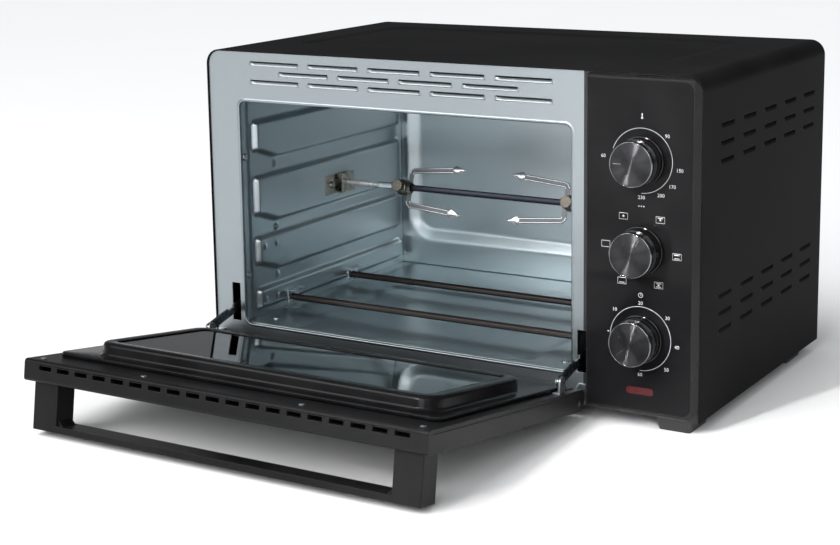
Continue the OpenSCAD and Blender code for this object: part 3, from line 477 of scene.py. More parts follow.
BLACK_PAINT = Paint("satin_stove_paint", "black_paint", (0.005, 0.005, 0.0055), 0.46, edge=0.6 * MM,
                    peel=0.2, specular=0.015)
DOOR_PAINT = Paint("charcoal_moulding", "door_paint", (0.006, 0.006, 0.0065), 0.38, edge=0.7 * MM,
                   grain=2200.0, rub_and_highlight=0.05, specular=0.14)
FOOT_PLASTIC = Paint("matte_foot", "dark_plastic", (0.013, 0.013, 0.014), 0.55, edge=0.8 * MM,
                     peel=0.5, grain=1800.0)
DARK_SCREW = Paint("blackened_screw", "dark_screws", (0.03, 0.03, 0.032), 0.4, edge=0.4 * MM,
                   peel=0.2, grain=3000.0, rub_and_highlight=0.1)
BEZEL = Paint("satin_bezel", "panel_black", (0.006, 0.006, 0.0065), 0.26, edge=0.6 * MM,
              peel=0.12, rub_and_highlight=0.04, specular=0.3)
SLEEVE = Paint("silicone_sleeve", "wire", (0.25, 0.03, 0.02), 0.5, edge=0.3 * MM)
FASCIA = Gloss("gloss_fascia", "fascia_gloss", (0.005, 0.005, 0.0055), 0.06, dust=0.01, specular=0.1,
               coat=0.0)
PAN = Gloss("pan_enamel_gloss", "pan_enamel", (0.004, 0.004, 0.0045), 0.24, edge=0.6 * MM,
            wave=0.25, dust=0.01, specular=0.14, coat=0.0)
KNOB = Gloss("knob_gloss", "knob_black", (0.004, 0.004, 0.0045), 0.12, edge=0.3 * MM,
             wave=0.05, dust=0.0, specular=0.35, coat=0.1)
CERAMIC = Gloss("glazed_ceramic", "ceramic", (0.75, 0.71, 0.62), 0.25, edge=0.4 * MM)
FRONT = HalfPainted("front_sheet", "front_steel", (0.37, 0.41, 0.43), 0.38, grain=(14.0, 14.0, 1.0),
                    fine=60.0, stain=0.05, tint=(0.32, 0.36, 0.385), scratch=0.05, streak=0.06, haze=0.02)
CAVITY = Steel("aluminised_sheet", "cavity_steel", (0.51, 0.575, 0.60), 0.33, edge=0.0, grain=(1.0, 1.0, 9.0),
               fine=70.0, stain=0.02, tint=(0.49, 0.555, 0.58), scratch=0.012, streak=0.02, haze=0.008)
LIP = Steel("rolled_lip", "front_steel", (0.30, 0.34, 0.36), 0.30, edge=0.0, grain=(3.0, 3.0, 1.0), fine=90.0,
            stain=0.05, tint=(0.28, 0.32, 0.34), scratch=0.05, streak=0.05, haze=0.02)
PLATED = {"grain": (1.0, 1.0, 1.0), "fine": 300.0}
ARM = Steel("blued_arm", "zinc_parts", (0.21, 0.235, 0.25), 0.26, stain=0.1, tint=(0.15, 0.17, 0.185),
            scratch=0.1, **PLATED)
ZINC = Steel("zinc_plate", "zinc_parts", (0.62, 0.65, 0.67), 0.28, edge=0.4 * MM, stain=0.2, **PLATED)
BRASSY = {"grain": (1.0, 1.0, 1.0), "fine": 350.0, "stain": 0.25}
NICKEL = Steel("nickelled_brass", "nickel", (0.42, 0.405, 0.36), 0.30, tint=(0.30, 0.285, 0.24), **BRASSY)
# painted shade: the same nickel at about a third of its brightness, for the thumb screws
SHADED_NICKEL_COPY = Steel("shade_painted_nickel", "nickel", (0.135, 0.125, 0.105), 0.30, tint=(0.09, 0.08, 0.065), **BRASSY)
DRAWN = {"grain": (8.0, 1.0, 1.0), "fine": 200.0, "stain": 0.05}
CHROME = Steel("bright_chrome", "chrome", (0.36, 0.375, 0.39), 0.20, edge=0.35 * MM, tint=(0.72, 0.74, 0.76),
               scratch=0.05, **DRAWN)
# painted shade: a darker copy of the chrome for the flat blank of each fork prong
PAINTED_SHADE_BLANK = Steel("shade_painted_fork_blank", "chrome", (0.085, 0.088, 0.092), 0.30, edge=0.0, tint=(0.07, 0.072, 0.076),
               scratch=0.05, **DRAWN)
# painted highlight: a brighter, half-diffuse copy of the chrome so the shaft reads bright white
PAINTED_HIGHLIGHT_SHAFT = Steel("highlight_painted_shaft", "chrome", (0.80, 0.81, 0.82), 0.30, edge=0.3 * MM, tint=(0.56, 0.57, 0.58),
              scratch=0.05, metallic=0.5, **DRAWN)
# painted shade: a near-black copy of the chrome for the spit bar beyond the fork, standing in for the dark
# cavity it reflects
PAINTED_SHADE_BAR = Steel("shade_painted_rod", "chrome", (0.020, 0.022, 0.028), 0.24, edge=0.4 * MM, grain=(1.0, 6.0, 6.0),
              fine=200.0, stain=0.2, tint=(0.02, 0.022, 0.03), scratch=0.1)
RIM = Steel("bright_cut_ring", "knob_black", (0.20, 0.205, 0.21), 0.16, edge=0.1 * MM, grain=(1.0, 1.0, 1.0),
            fine=500.0, stain=0.05)
SPUN = Spun("spun_black_face", "knob_face", (0.045, 0.045, 0.048), 0.36, anisotropy=1.0)
HEATER = Rod("heater_oxide", "heater_rod", (0.026, 0.018, 0.017), 0.40, burnt=(0.012, 0.008, 0.007))
RED = Lens("red_window", "red_lens", (0.060, 0.002, 0.005), 0.3, edge=0.8 * MM)
INNER_GLASS = Glass("inner_pane", "door_glass", (0.42, 0.44, 0.45), 0.0)
OUTER_GLASS = Glass("outer_pane", "door_glass", (0.06, 0.062, 0.065), 0.01)
INK = Ink("pale_ink", "panel_black", (0.80, 0.81, 0.82), 0.5)
PAPER = Floor("studio_floor", "", (0.93, 0.93, 0.93), 0.8)


# ---------------------------------------------------------------- mesh tools


def add_piece(name: str, verts: Iterable[Sequence[float]], faces: Iterable[Sequence[int]], finish: Finish,
              body: str, place: Optional[Matrix] = None, stands_for: Sequence[str] = (), sharp: float = 34.0,
              bevel: float = 0.0, outward: bool = True) -> bpy.types.Object:
    """Makes one piece, dresses it and lets it ride on a body.

    Args:
        name: Name of the piece.
        verts: Corner points, metres.
        faces: Corner numbers of each face.
        finish: Finish of the piece.
        body: Body it moves with.
        place: Where the points are moved to.
        stands_for: CAD nodes it replaces.
        sharp: Edges with a larger angle stay sharp, degrees.
        bevel: Width of rounded edges, metres; 0 leaves them.
        outward: Join doubled points and turn all faces outwards.

    Returns:
        The new object.
    """
    mesh = bpy.data.meshes.new(name)
    mesh.from_pydata([tuple(v) for v in verts], [], [tuple(f) for f in faces])
    if outward:
        work = bmesh.new()
        work.from_mesh(mesh)
        bmesh.ops.remove_doubles(work, verts=work.verts, dist=1e-7)
        bmesh.ops.recalc_face_normals(work, faces=work.faces)
        work.to_mesh(mesh)
        work.free()
    if place is not None:
        mesh.transform(place)
        if place.determinant() < 0:
            mesh.flip_normals()
    mesh.materials.append(finish.material())
    mesh.shade_smooth()
    mesh.set_sharp_from_angle(angle=math.radians(sharp))
    piece = bpy.data.objects.new(name, mesh)
    bpy.context.scene.collection.objects.link(piece)
    if bevel:
        soften(piece, bevel)
    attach(piece, body)
    if stands_for:
        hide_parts(*stands_for)
    return piece


def soften(piece: bpy.types.Object, width: float, weld: bool = False) -> None:
    """Rounds the sharp edges of an object with modifiers.

    Args:
        piece: The object.
        width: Width of the rounding, metres.
        weld: Join doubled corner points first.
    """
    if weld:
        joint = piece.modifiers.new("weld", "WELD")
        joint.merge_threshold = 1e-6
    bevel = piece.modifiers.new("rounding", "BEVEL")
    bevel.width = width
    bevel.segments = 2
    bevel.limit_method = "ANGLE"
    bevel.angle_limit = math.radians(35)
    bevel.use_clamp_overlap = True
    bevel.harden_normals = True


def dress(finish: Finish, *names: str, rounding: float = 0.0) -> None:
    """Gives CAD nodes their finish.

    Args:
        finish: The finish.
        names: The nodes.
        rounding: Width of rounded edges, metres; 0 leaves them.
    """
    for name in names:
        node = frame["nodes"][name]
        for place in node.material_slots:
            place.material = finish.material()
        if rounding:
            soften(node, rounding, weld=True)


def lathe(profile: Sequence[Point], axis: Axis, steps: int) -> Shape:
    """Turns a profile about an axis.

    Args:
        profile: Radius and height along the axis, metres.
        axis: The axis.
        steps: Facets around.

    Returns:
        Corner points and faces; ends with radius 0 are closed.
    """
    verts: list[Vector] = []
    for radius, height in profile:
        for i in range(steps):
            a = 2 * math.pi * i / steps
            u, v = radius * math.cos(a), radius * math.sin(a)
            verts.append(Vector((height, u, v) if axis is Axis.X else (v, height, u)))
    faces = []
    for k in range(len(profile) - 1):
        for i in range(steps):
            j = (i + 1) % steps
            faces.append([k * steps + i, k * steps + j, (k + 1) * steps + j, (k + 1) * steps + i])
    return verts, faces


def loft(rings: Sequence[Ring], close_start: bool = False, close_end: bool = False,
         closed: bool = True) -> Shape:
    """Joins rings of points with faces.

    Args:
        rings: Rings with the same number of points.
        close_start: Fill the first ring.
        close_end: Fill the last ring.
        closed: Each ring is a loop.

    Returns:
        Corner points and faces.
    """
    count = len(rings[0])
    verts = [p for ring in rings for p in ring]
    faces = []
    for k in range(len(rings) - 1):
        for i in range(count if closed else count - 1):
            j = (i + 1) % count
            faces.append([k * count + i, k * count + j, (k + 1) * count + j, (k + 1) * count + i])
    if close_start:
        faces.append(list(range(count))[::-1])
    if close_end:
        faces.append([(len(rings) - 1) * count + i for i in range(count)])
    return verts, faces


def rounded(x0: float, x1: float, y0: float, y1: float, r: float, steps: int = 8) -> list[Point]:
    """Lists the points of a rectangle with rounded corners.

    Args:
        x0: Low x.
        x1: High x.
        y0: Low y.
        y1: High y.
        r: Corner radius.
        steps: Facets in one corner.

    Returns:
        Points, counter-clockwise.
    """
    points = []
    for k, (cx, cy) in enumerate(((x1 - r, y1 - r), (x0 + r, y1 - r), (x0 + r, y0 + r), (x1 - r, y0 + r))):
        for i in range(steps + 1):
            a = math.pi / 2 * (k + i / steps)
            points.append((cx + r * math.cos(a), cy + r * math.sin(a)))
    return points


def tube(path: Sequence[Vector], radius: float, sides: int, up: Vector = Vector((0, 0, 1))) -> Shape:
    """Sweeps a round section along a path.

    Args:
        path: Centre points, never running along up.
        radius: Radius of the section.
        sides: Facets around.
        up: Direction that the first facet is counted from.

    Returns:
        Corner points and faces, ends filled.
    """
    rings = []
    for i, point in enumerate(path):
        ahead = (path[min(i + 1, len(path) - 1)] - path[max(i - 1, 0)]).normalized()
        across = ahead.cross(up).normalized()
        lift = across.cross(ahead)
        rings.append([point + across * (radius * math.cos(a)) + lift * (radius * math.sin(a))
                      for a in (2 * math.pi * k / sides for k in range(sides))])
    return loft(rings, True, True)


def strip(path: Sequence[Point], width: float, closed: bool = False) -> list[list[Vector]]:
    """Turns a flat line into a left and a right edge.

    Args:
        path: Points of the line.
        width: Width of the strip.
        closed: The line is a loop.

    Returns:
        The two edges as rings in x, y.
    """
    left, right = [], []
    count = len(path)
    for i in range(count):
        a = Vector(path[i - 1] if closed or i else path[i])
        b = Vector(path[(i + 1) % count] if closed or i < count - 1 else path[i])
        along = (b - a).normalized()
        side = Vector((-along.y, along.x)) * width / 2
        left.append((Vector(path[i]) + side).to_3d())
        right.append((Vector(path[i]) - side).to_3d())
    return [left, right]


def merged(parts: Sequence[Shape]) -> Shape:
    """Puts several shapes into one.

    Args:
        parts: Points and faces of each.

    Returns:
        Points and faces of all.
    """
    verts: list[Vector] = []
    faces: list[list[int]] = []
    for points, rims in parts:
        base = len(verts)
        verts.extend(Vector(p) for p in points)
        faces.extend([base + i for i in rim] for rim in rims)
    return verts, faces


def prism(outline: Sequence[Point], low: float, high: float) -> Shape:
    """Raises an outline from low to high.

    Args:
        outline: Points in x, y.
        low: Lower z.
        high: Upper z.

    Returns:
        Points and faces.
    """
    return loft([[Vector((x, y, z)) for x, y in outline] for z in (low, high)], True, True)


def eased(t: float, soft: float = 0.35) -> float:
    """Climbs from 0 to 1 with a straight middle and rounded ends.

    Args:
        t: Place along the slope.
        soft: Share of the slope that each rounding takes.

    Returns:
        The height, 0 to 1.
    """
    t = min(1.0, max(0.0, t))
    top = 1.0 / (1.0 - soft)
    if t < soft:
        return top * t * t / (2 * soft)
    if t > 1 - soft:
        return 1.0 - top * (1 - t) ** 2 / (2 * soft)
    return top * (t - soft / 2)


def depth_inside(x: float, y: float, outline: Sequence[Point]) -> float:
    """Measures how far a point is inside an outline.

    Args:
        x: Point x.
        y: Point y.
        outline: Corners in order.

    Returns:
        Distance to the rim, negative outside.
    """
    best, inside = 1e9, False
    px, py = outline[-1]
    for qx, qy in outline:
        ex, ey, wx, wy = qx - px, qy - py, x - px, y - py
        t = min(1.0, max(0.0, (wx * ex + wy * ey) / (ex * ex + ey * ey)))
        best = min(best, (wx - t * ex) ** 2 + (wy - t * ey) ** 2)
        if (py > y) != (qy > y) and x < px + (y - py) * ex / ey:
            inside = not inside
        px, py = qx, qy
    return math.sqrt(best) * (1 if inside else -1)


def pressed_sheet(u0: float, u1: float, v0: float, v1: float, step: float,
                  height: Callable[[float, float], float]) -> Shape:
    """Makes a sheet whose height follows a function.

    Args:
        u0: Low u.
        u1: High u.
        v0: Low v.
        v1: High v.
        step: Size of a cell.
        height: Height at u, v.

    Returns:
        Points as u, v, height, and faces.
    """
    nu, nv = int((u1 - u0) / step) + 1, int((v1 - v0) / step) + 1
    verts = []
    for j in range(nv + 1):
        v = v0 + (v1 - v0) * j / nv
        for i in range(nu + 1):
            u = u0 + (u1 - u0) * i / nu
            verts.append(Vector((u, v, height(u, v))))
    faces = [[j * (nu + 1) + i, j * (nu + 1) + i + 1, (j + 1) * (nu + 1) + i + 1, (j + 1) * (nu + 1) + i]
             for j in range(nv) for i in range(nu)]
    return verts, faces


def thicken(piece: bpy.types.Object, thickness: float, offset: float = -1.0) -> None:
    """Gives a sheet its thickness with a modifier.

    Args:
        piece: The sheet.
        thickness: Thickness, metres.
        offset: -1 adds it behind the face.
    """
    solid = piece.modifiers.new("thickness", "SOLIDIFY")
    solid.thickness = thickness
    solid.offset = offset


# ---------------------------------------------------------------- sizes taken from the frame


@dataclass(frozen=True)
class Datum:
    """Planes and centres that several pieces share, metres."""

    front: float
    top: float
    cav_x0: float
    cav_x1: float
    cav_y1: float
    cav_z0: float
    cav_z1: float
    spit_y: float
    spit_z: float
    panel: float
    pivot: Vector

    @classmethod
    def read(cls) -> "Datum":
        """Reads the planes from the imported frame."""
        roof_low, roof_high = box_of("cavity_top")
        rod_low, rod_high = box_of("drive_socket")
        hinge = next(j for j in frame["joints"] if j["name"] == "door_hinge")
        return cls(
            front=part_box("front_frame")[0][1], top=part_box("case_wrap")[1][2],
            cav_x0=roof_low.x, cav_x1=roof_high.x, cav_y1=roof_high.y,
            cav_z0=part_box("cavity_floor")[1][2], cav_z1=roof_low.z,
            spit_y=(rod_low.y + rod_high.y) / 2, spit_z=(rod_low.z + rod_high.z) / 2,
            panel=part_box("panel_fascia")[0][1], pivot=Vector(hinge["pos_m"]),
        )


def swap_to_wall(origin_x: float, side: Side) -> Matrix:
    """Maps u, v, height to y, z, and x into the cavity.

    Args:
        origin_x: Plane of the wall.
        side: Which wall.

    Returns:
        The matrix.
    """
    way = 1 if side is Side.LEFT else -1
    return Matrix(((0, 0, way, origin_x), (1, 0, 0, 0), (0, 1, 0, 0), (0, 0, 0, 1)))


def upright(origin_y: float) -> Matrix:
    """Maps u, v, height to x, z, and towards the front."""
    return Matrix(((1, 0, 0, 0), (0, 0, -1, origin_y), (0, 1, 0, 0), (0, 0, 0, 1)))


def box_of(name: str) -> tuple[Vector, Vector]:
    """Returns the low and high corner of a node or piece."""
    low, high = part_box(name)
    return Vector(low), Vector(high)


def rim(outline: Callable[[float], list[Point]], profile: Sequence[Point]) -> Shape:
    """Sweeps a profile around an outline.

    Args:
        outline: Gives the outline moved out by an offset.
        profile: Offset and height of each point of the profile.

    Returns:
        Points as u, v, height, and faces.
    """
    return loft([[Vector((u, v, height)) for u, v in outline(off)] for off, height in profile])


# ---------------------------------------------------------------- cabinet


@dataclass
class Cabinet:
    """Painted case with its pressed side slots, feet, covers and screws."""

    slot_l: float = 30.0 * MM
    slot_y: float = 52.5 * MM
    slot_pitch: float = 50.5 * MM
    slot_rows: tuple = (79.9, 94.9, 109.9, 225.0, 240.0, 255.0)
    inside: float = 0.1 * MM

    def build(self) -> None:
        """Dresses the case and presses the side scoops."""
        dress(BLACK_PAINT, "case_wrap", "base_plate", "back_panel")
        dress(FOOT_PLASTIC, "feet", rounding=0.6 * MM)
        dress(FOOT_PLASTIC, "cord_gland")
        dress(DARK_SCREW, "case_screws")
        low, high = box_of("case_wrap")
        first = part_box("front_frame")[0][1] + self.slot_y
        places = [Matrix.Translation((x, first + self.slot_pitch * i, z * MM)) @ Matrix.Rotation(turn, 4, "Z")
                  for x, turn in ((low.x + self.inside, -math.pi / 2), (high.x - self.inside, math.pi / 2))
                  for z in self.slot_rows for i in range(5)]
        Scoop(self.slot_l).press("side_scoops", places, BLACK_PAINT)
        LOG.info("cabinet: wrap, covers, feet and screws dressed")


@dataclass
class Scoop:
    """Rounded dish pressed behind one air slot, open along its top."""

    length: float
    past: float = 0.8 * MM
    low: float = -2.3 * MM
    high: float = 1.3 * MM
    depth: float = 2.1 * MM
    bend: float = 1.6
    start: float = 6.0 * MM
    end: float = 3.0 * MM

    def shape(self) -> Shape:
        """Returns the dish around its middle, along x, pressed to +y."""
        half = self.length / 2 + self.past
        stops = [-half + self.start * i / 8 for i in range(9)]
        stops += [half - self.end * (1 - i / 6) for i in range(7)]
        tall = self.high - self.low
        rings = []
        for x in stops:
            deep = eased((x + half) / self.start) * eased((half - x) / self.end)
            rings.append([Vector((x, self.depth * deep * t ** self.bend, self.low + tall * t))
                          for t in (k / 7 for k in range(8))])
        return loft(rings, closed=False)

    def press(self, name: str, places: Sequence[Matrix], finish: Finish) -> None:
        """Adds a group of dishes as one piece.

        Args:
            name: Piece name.
            places: Where each dish goes.
            finish: Their finish.
        """
        verts, faces = self.shape()
        group = merged([([place @ v for v in verts], faces) for place in places])
        thicken(add_piece(name, *group, finish, "cabinet", sharp=50), 0.1 * MM, 0.0)


@dataclass
class FrontSteel:
    """Bright front sheet with its rolled lip around the opening."""

    datum: Datum
    inset: float = 2.1 * MM
    low: float = 0.6 * MM
    high: float = 8.6 * MM
    corner: float = 7.0 * MM
    slot_l: float = 54.0 * MM
    slot_pitch: float = 65.0 * MM
    slot_row: float = 8.6 * MM
    slot_down: float = 29.0 * MM

    def outline(self, off: float) -> list[Point]:
        """Returns the opening moved out by an offset."""
        d = self.datum
        return rounded(d.cav_x0 + self.inset - off, d.cav_x1 - self.inset + off,
                       d.cav_z0 - self.low - off, d.cav_z1 - self.high + off, self.corner + off, 10)

    def build(self) -> None:
        """Dresses the sheet and adds the lip."""
        dress(FRONT, "front_frame")
        profile = [(2.6, -0.02), (2.2, 0.14), (1.5, 0.31), (0.8, 0.36), (0.2, 0.24), (-0.15, -0.1),
                   (-0.25, -1.0), (-0.25, -3.1)]
        verts, faces = rim(self.outline, [(o * MM, h * MM) for o, h in profile])
        add_piece("opening_lip", verts, faces, LIP, "cabinet", upright(self.datum.front), sharp=60)
        d = self.datum
        middle = (d.cav_x0 + d.cav_x1) / 2 - 2 * MM
        counts = (5, 4, 5)
        places = [Matrix.Translation((middle + (i - (count - 1) / 2) * self.slot_pitch, d.front - 0.02 * MM,
                                      d.top - self.slot_down + self.slot_row * row))
                  for row, count in enumerate(counts) for i in range(count)]
        Scoop(self.slot_l).press("front_scoops", places, FRONT)
        LOG.info("front steel: sheet dressed, rolled lip and %d scoops added", len(places))


@dataclass(frozen=True)
class Recess:
    """Shallow rectangular recess of a sheet, with rounded corners and sloped sides."""

    x0: float
    x1: float
    y0: float
    y1: float
    corner: float
    slope: float
    deep: float
    soft: float

    def height(self) -> Callable[[float, float], float]:
        """Returns the height of the sheet over its plane, negative in the recess."""
        r = self.corner
        core = [(self.x0 + r, self.y0 + r), (self.x1 - r, self.y0 + r),
                (self.x1 - r, self.y1 - r), (self.x0 + r, self.y1 - r)]
        return lambda x, y: -self.deep * eased((depth_inside(x, y, core) + r) / self.slope, self.soft)


@dataclass
class Cavity:
    """Pressed steel walls, floor, back and roof of the oven."""

    datum: Datum
    cell: float = 1.4 * MM
    field_h: float = 6.0 * MM
    field_front: float = 19.0 * MM
    field_back: float = 7.0 * MM
    field_round: float = 5.0 * MM
    slope: float = 4.2 * MM
    ramp: float = 34.0 * MM
    flare: float = 9.0 * MM
    fields: tuple = ((6.7, 29.2), (41.5, 80.0), (90.0, 139.3), (152.2, 192.8))
    dimples: tuple = ((29.0, 69.0), (48.0, 69.0), (29.0, 17.0), (47.0, 17.0))
    socket_r: float = 9.6 * MM
    sheet: float = 0.9 * MM
    edge_y: float = 12.5 * MM
    edge_w: float = 2.5 * MM
    edge_h: float = 0.9 * MM
    stop: Point = (3.0 * MM, 2.3 * MM)
    dimple: Point = (2.2 * MM, 1.1 * MM)

    def field_outline(self, low: float, high: float, flared: bool) -> list[Point]:
        """Lists the corners of one raised field, moved in by the corner rounding.

        Args:
            low: Lower edge above the floor.
            high: Upper edge above the floor.
            flared: The front end stands higher at its bottom.

        Returns:
            Corners in y, z.
        """
        d, r = self.datum, self.field_round
        y0, y1 = d.front + self.field_front, d.cav_y1 - self.field_back
        z0, z1 = d.cav_z0 + low, d.cav_z0 + high
        lift = self.flare if flared else 0.0
        return [(y0 + r, z0 + lift + r), (y0 + r, z1 - r), (y1 - r, z1 - r), (y1 - r, z0 + r),
                (y0 + self.ramp, z0 + r), (y0 + r + 3 * MM, z0 + lift + r)]

    def wall_height(self) -> Callable[[float, float], float]:
        """Returns the height of the pressed wall above its plane."""
        outlines = [self.field_outline(a * MM, b * MM, i > 0) for i, (a, b) in enumerate(self.fields)]
        d = self.datum
        front = d.front
        stops = [(front + self.field_front + self.ramp + 2 * MM, d.cav_z0 + a * MM - 6 * MM)
                 for a, _ in self.fields[1:]]
        marks = [(front + y * MM, d.cav_z0 + z * MM) for y, z in self.dimples]

        def bump(y: float, z: float, at: Point, r: float, h: float) -> float:
            """Returns a round bump."""
            q = ((y - at[0]) ** 2 + (z - at[1]) ** 2) / (r * r)
            return h * math.sqrt(1 - q) if q < 1 else 0.0

        def height(y: float, z: float) -> float:
            """Returns the height at y, z."""
            inside = max(depth_inside(y, z, o) for o in outlines) + self.field_round
            h = self.field_h * eased(inside / self.slope)
            h += self.edge_h * eased((y - front - self.edge_y) / self.edge_w) * (1 - h / self.field_h)
            h += sum(bump(y, z, at, *self.stop) for at in stops)
            return h + sum(bump(y, z, at, *self.dimple) for at in marks)

        return height

    def wall(self, side: Side) -> None:
        """Builds one side wall.

        Args:
            side: Which wall.
        """
        d = self.datum
        verts, faces = pressed_sheet(d.front + 1.2 * MM, d.cav_y1, d.cav_z0 - self.sheet,
                                     d.cav_z1 + self.sheet, self.cell, self.wall_height())
        if side is Side.RIGHT:
            centre = Vector((d.spit_y, d.spit_z))
            gone = {i for i, v in enumerate(verts) if (v.xy - centre).length < self.socket_r}
            for i, v in enumerate(verts):
                away = v.xy - centre
                if i not in gone and away.length < self.socket_r + self.cell * 1.2:
                    v.xy = centre + away.normalized() * self.socket_r
            faces = [f for f in faces if not gone.intersection(f)]
        name, plane = ("cavity_left", d.cav_x0) if side is Side.LEFT else ("cavity_right", d.cav_x1)
        self.sheet_piece(name, verts, faces, swap_to_wall(plane, side))

    def sheet_piece(self, node: str, verts: list[Vector], faces: list[list[int]], place: Matrix) -> None:
        """Adds one pressed sheet without turning its faces.

        Args:
            node: CAD node it replaces.
            verts: Points.
            faces: Faces.
            place: Where it goes.
        """
        piece = add_piece(f"{node}_pressing", verts, faces, CAVITY, "cabinet", place, [node], sharp=80,
                          outward=False)
        thicken(piece, self.sheet)

    def back(self) -> None:
        """Builds the back wall with its pressed recess."""
        d = self.datum
        recess = Recess(d.cav_x0 + 8 * MM, d.cav_x1 - 8 * MM, d.cav_z0 + 26 * MM, d.cav_z1 - 22 * MM,
                        corner=30 * MM, slope=15 * MM, deep=5 * MM, soft=0.18)
        verts, faces = pressed_sheet(d.cav_x0 - self.sheet, d.cav_x1 + self.sheet, d.cav_z0 - self.sheet,
                                     d.cav_z1 + self.sheet, 2.0 * MM, recess.height())
        self.sheet_piece("cavity_back", verts, faces, upright(d.cav_y1))

    def floor(self) -> None:
        """Builds the floor with its shallow recess."""
        d = self.datum
        recess = Recess(d.cav_x0 + 46 * MM, d.cav_x1 - 46 * MM, d.front + 8 * MM, d.front + 197.5 * MM,
                        corner=14 * MM, slope=11 * MM, deep=2 * MM, soft=0.2)
        verts, faces = pressed_sheet(d.cav_x0, d.cav_x1, d.front + 3.2 * MM, d.cav_y1, 2.2 * MM,
                                     recess.height())
        self.sheet_piece("cavity_floor", verts, faces, Matrix.Translation((0, 0, d.cav_z0)))

    def build(self) -> None:
        """Builds the cavity."""
        self.wall(Side.LEFT)
        self.wall(Side.RIGHT)
        self.back()
        self.floor()
        dress(CAVITY, "cavity_top")
        dress(ZINC, "cavity_screws", "heater_clips", rounding=0.3 * MM)
        dress(HEATER, "heaters_lower", "heaters_upper")
        dress(CERAMIC, "heater_insulators")
        dress(CHROME, "thermostat_bulb")
        LOG.info("cavity: walls, back and floor pressed, heaters dressed")


# ---------------------------------------------------------------- control panel


class Icon(Enum):
    """Heating programme shown by a small box: bars above or below, and a fan dot."""

    FAN = (False, False, True)
    TOP_FAN = (True, False, True)
    BOTH = (True, True, False)
    BOTH_FAN = (True, True, True)
    BOTTOM = (False, True, False)
    NONE = (False, False, False)


@dataclass
class PanelPrint:
    """Pale marks on the fascia, drawn flat in x, z."""

    line: float = 0.38 * MM
    digit: float = 4.3 * MM
    box_w: float = 3.8 * MM
    box_h: float = 2.6 * MM
    proud: float = 0.03 * MM
    parts: list[Shape] = field(default_factory=list)

    def at(self, centre: Vector, radius: float, clock: float) -> Point:
        """Returns the point at a clock angle around a centre."""
        a = math.radians(clock)
        return centre.x + radius * math.sin(a), centre.z + radius * math.cos(a)

    def ribbon(self, path: Sequence[Point], closed: bool = False, width: float = 0.0) -> None:
        """Draws a line.

        Args:
            path: Points in x, z.
            closed: The line is a loop.
            width: Line width; 0 takes the usual one.
        """
        left, right = strip(path, width or self.line, closed)
        if closed:
            left.append(left[0])
            right.append(right[0])
        self.parts.append(loft([left, right], closed=False))

    def arc(self, centre: Vector, radius: float, start: float, end: float) -> None:
        """Draws an arc between two clock angles."""
        steps = int(abs(end - start) / 3) + 1
        self.ribbon([self.at(centre, radius, start + (end - start) * i / steps) for i in range(steps + 1)])

    def dot(self, x: float, z: float, radius: float) -> None:
        """Draws a round dot."""
        turns = [i * math.pi / 8 for i in range(16)]
        self.parts.append(([Vector((x + radius * math.cos(t), z + radius * math.sin(t), 0)) for t in turns],
                           [list(range(len(turns)))]))

    def number(self, text: str, x: float, z: float) -> None:
        """Prints a number with its middle at x, z.

        Args:
            text: Digits.
            x: Middle x.
            z: Middle z.
        """
        curve = bpy.data.curves.new("digits", "FONT")
        curve.body = text
        curve.size = self.digit
        curve.align_x = "CENTER"
        curve.align_y = "CENTER"
        curve.resolution_u = 2
        holder = bpy.data.objects.new("digits", curve)
        mesh = bpy.data.meshes.new_from_object(holder)
        self.parts.append(([Vector((x + v.co.x, z + v.co.y, 0)) for v in mesh.vertices],
                           [list(p.vertices) for p in mesh.polygons]))
        bpy.data.objects.remove(holder)
        bpy.data.curves.remove(curve)
        bpy.data.meshes.remove(mesh)

    def box(self, x: float, z: float, icon: Icon) -> None:
        """Draws a programme icon.

        Args:
            x: Middle x.
            z: Middle z.
            icon: Which programme.
        """
        w, h = self.box_w, self.box_h
        above, below, fan = icon.value
        self.ribbon([(x - w, z - h), (x + w, z - h), (x + w, z + h), (x - w, z + h)], True)
        for shown, at in ((above, z + h * 0.55), (below, z - h * 0.55)):
            if shown:
                self.ribbon([(x - w * 0.6, at), (x + w * 0.6, at)], width=0.55 * MM)
        if fan:
            for turn in range(3):
                a = math.radians(30 + 60 * turn)
                reach = 1.0 * MM
                self.ribbon([(x - reach * math.cos(a), z - reach * math.sin(a)),
                             (x + reach * math.cos(a), z + reach * math.sin(a))], width=0.45 * MM)

    def build(self, name: str, plane: float) -> None:
        """Adds the marks as one piece just proud of the fascia.

        Args:
            name: Piece name.
            plane: Face of the fascia.
        """
        verts, faces = merged(self.parts)
        piece = add_piece(name, verts, faces, INK, "cabinet", upright(plane - self.proud))
        thicken(piece, self.proud, 0.0)


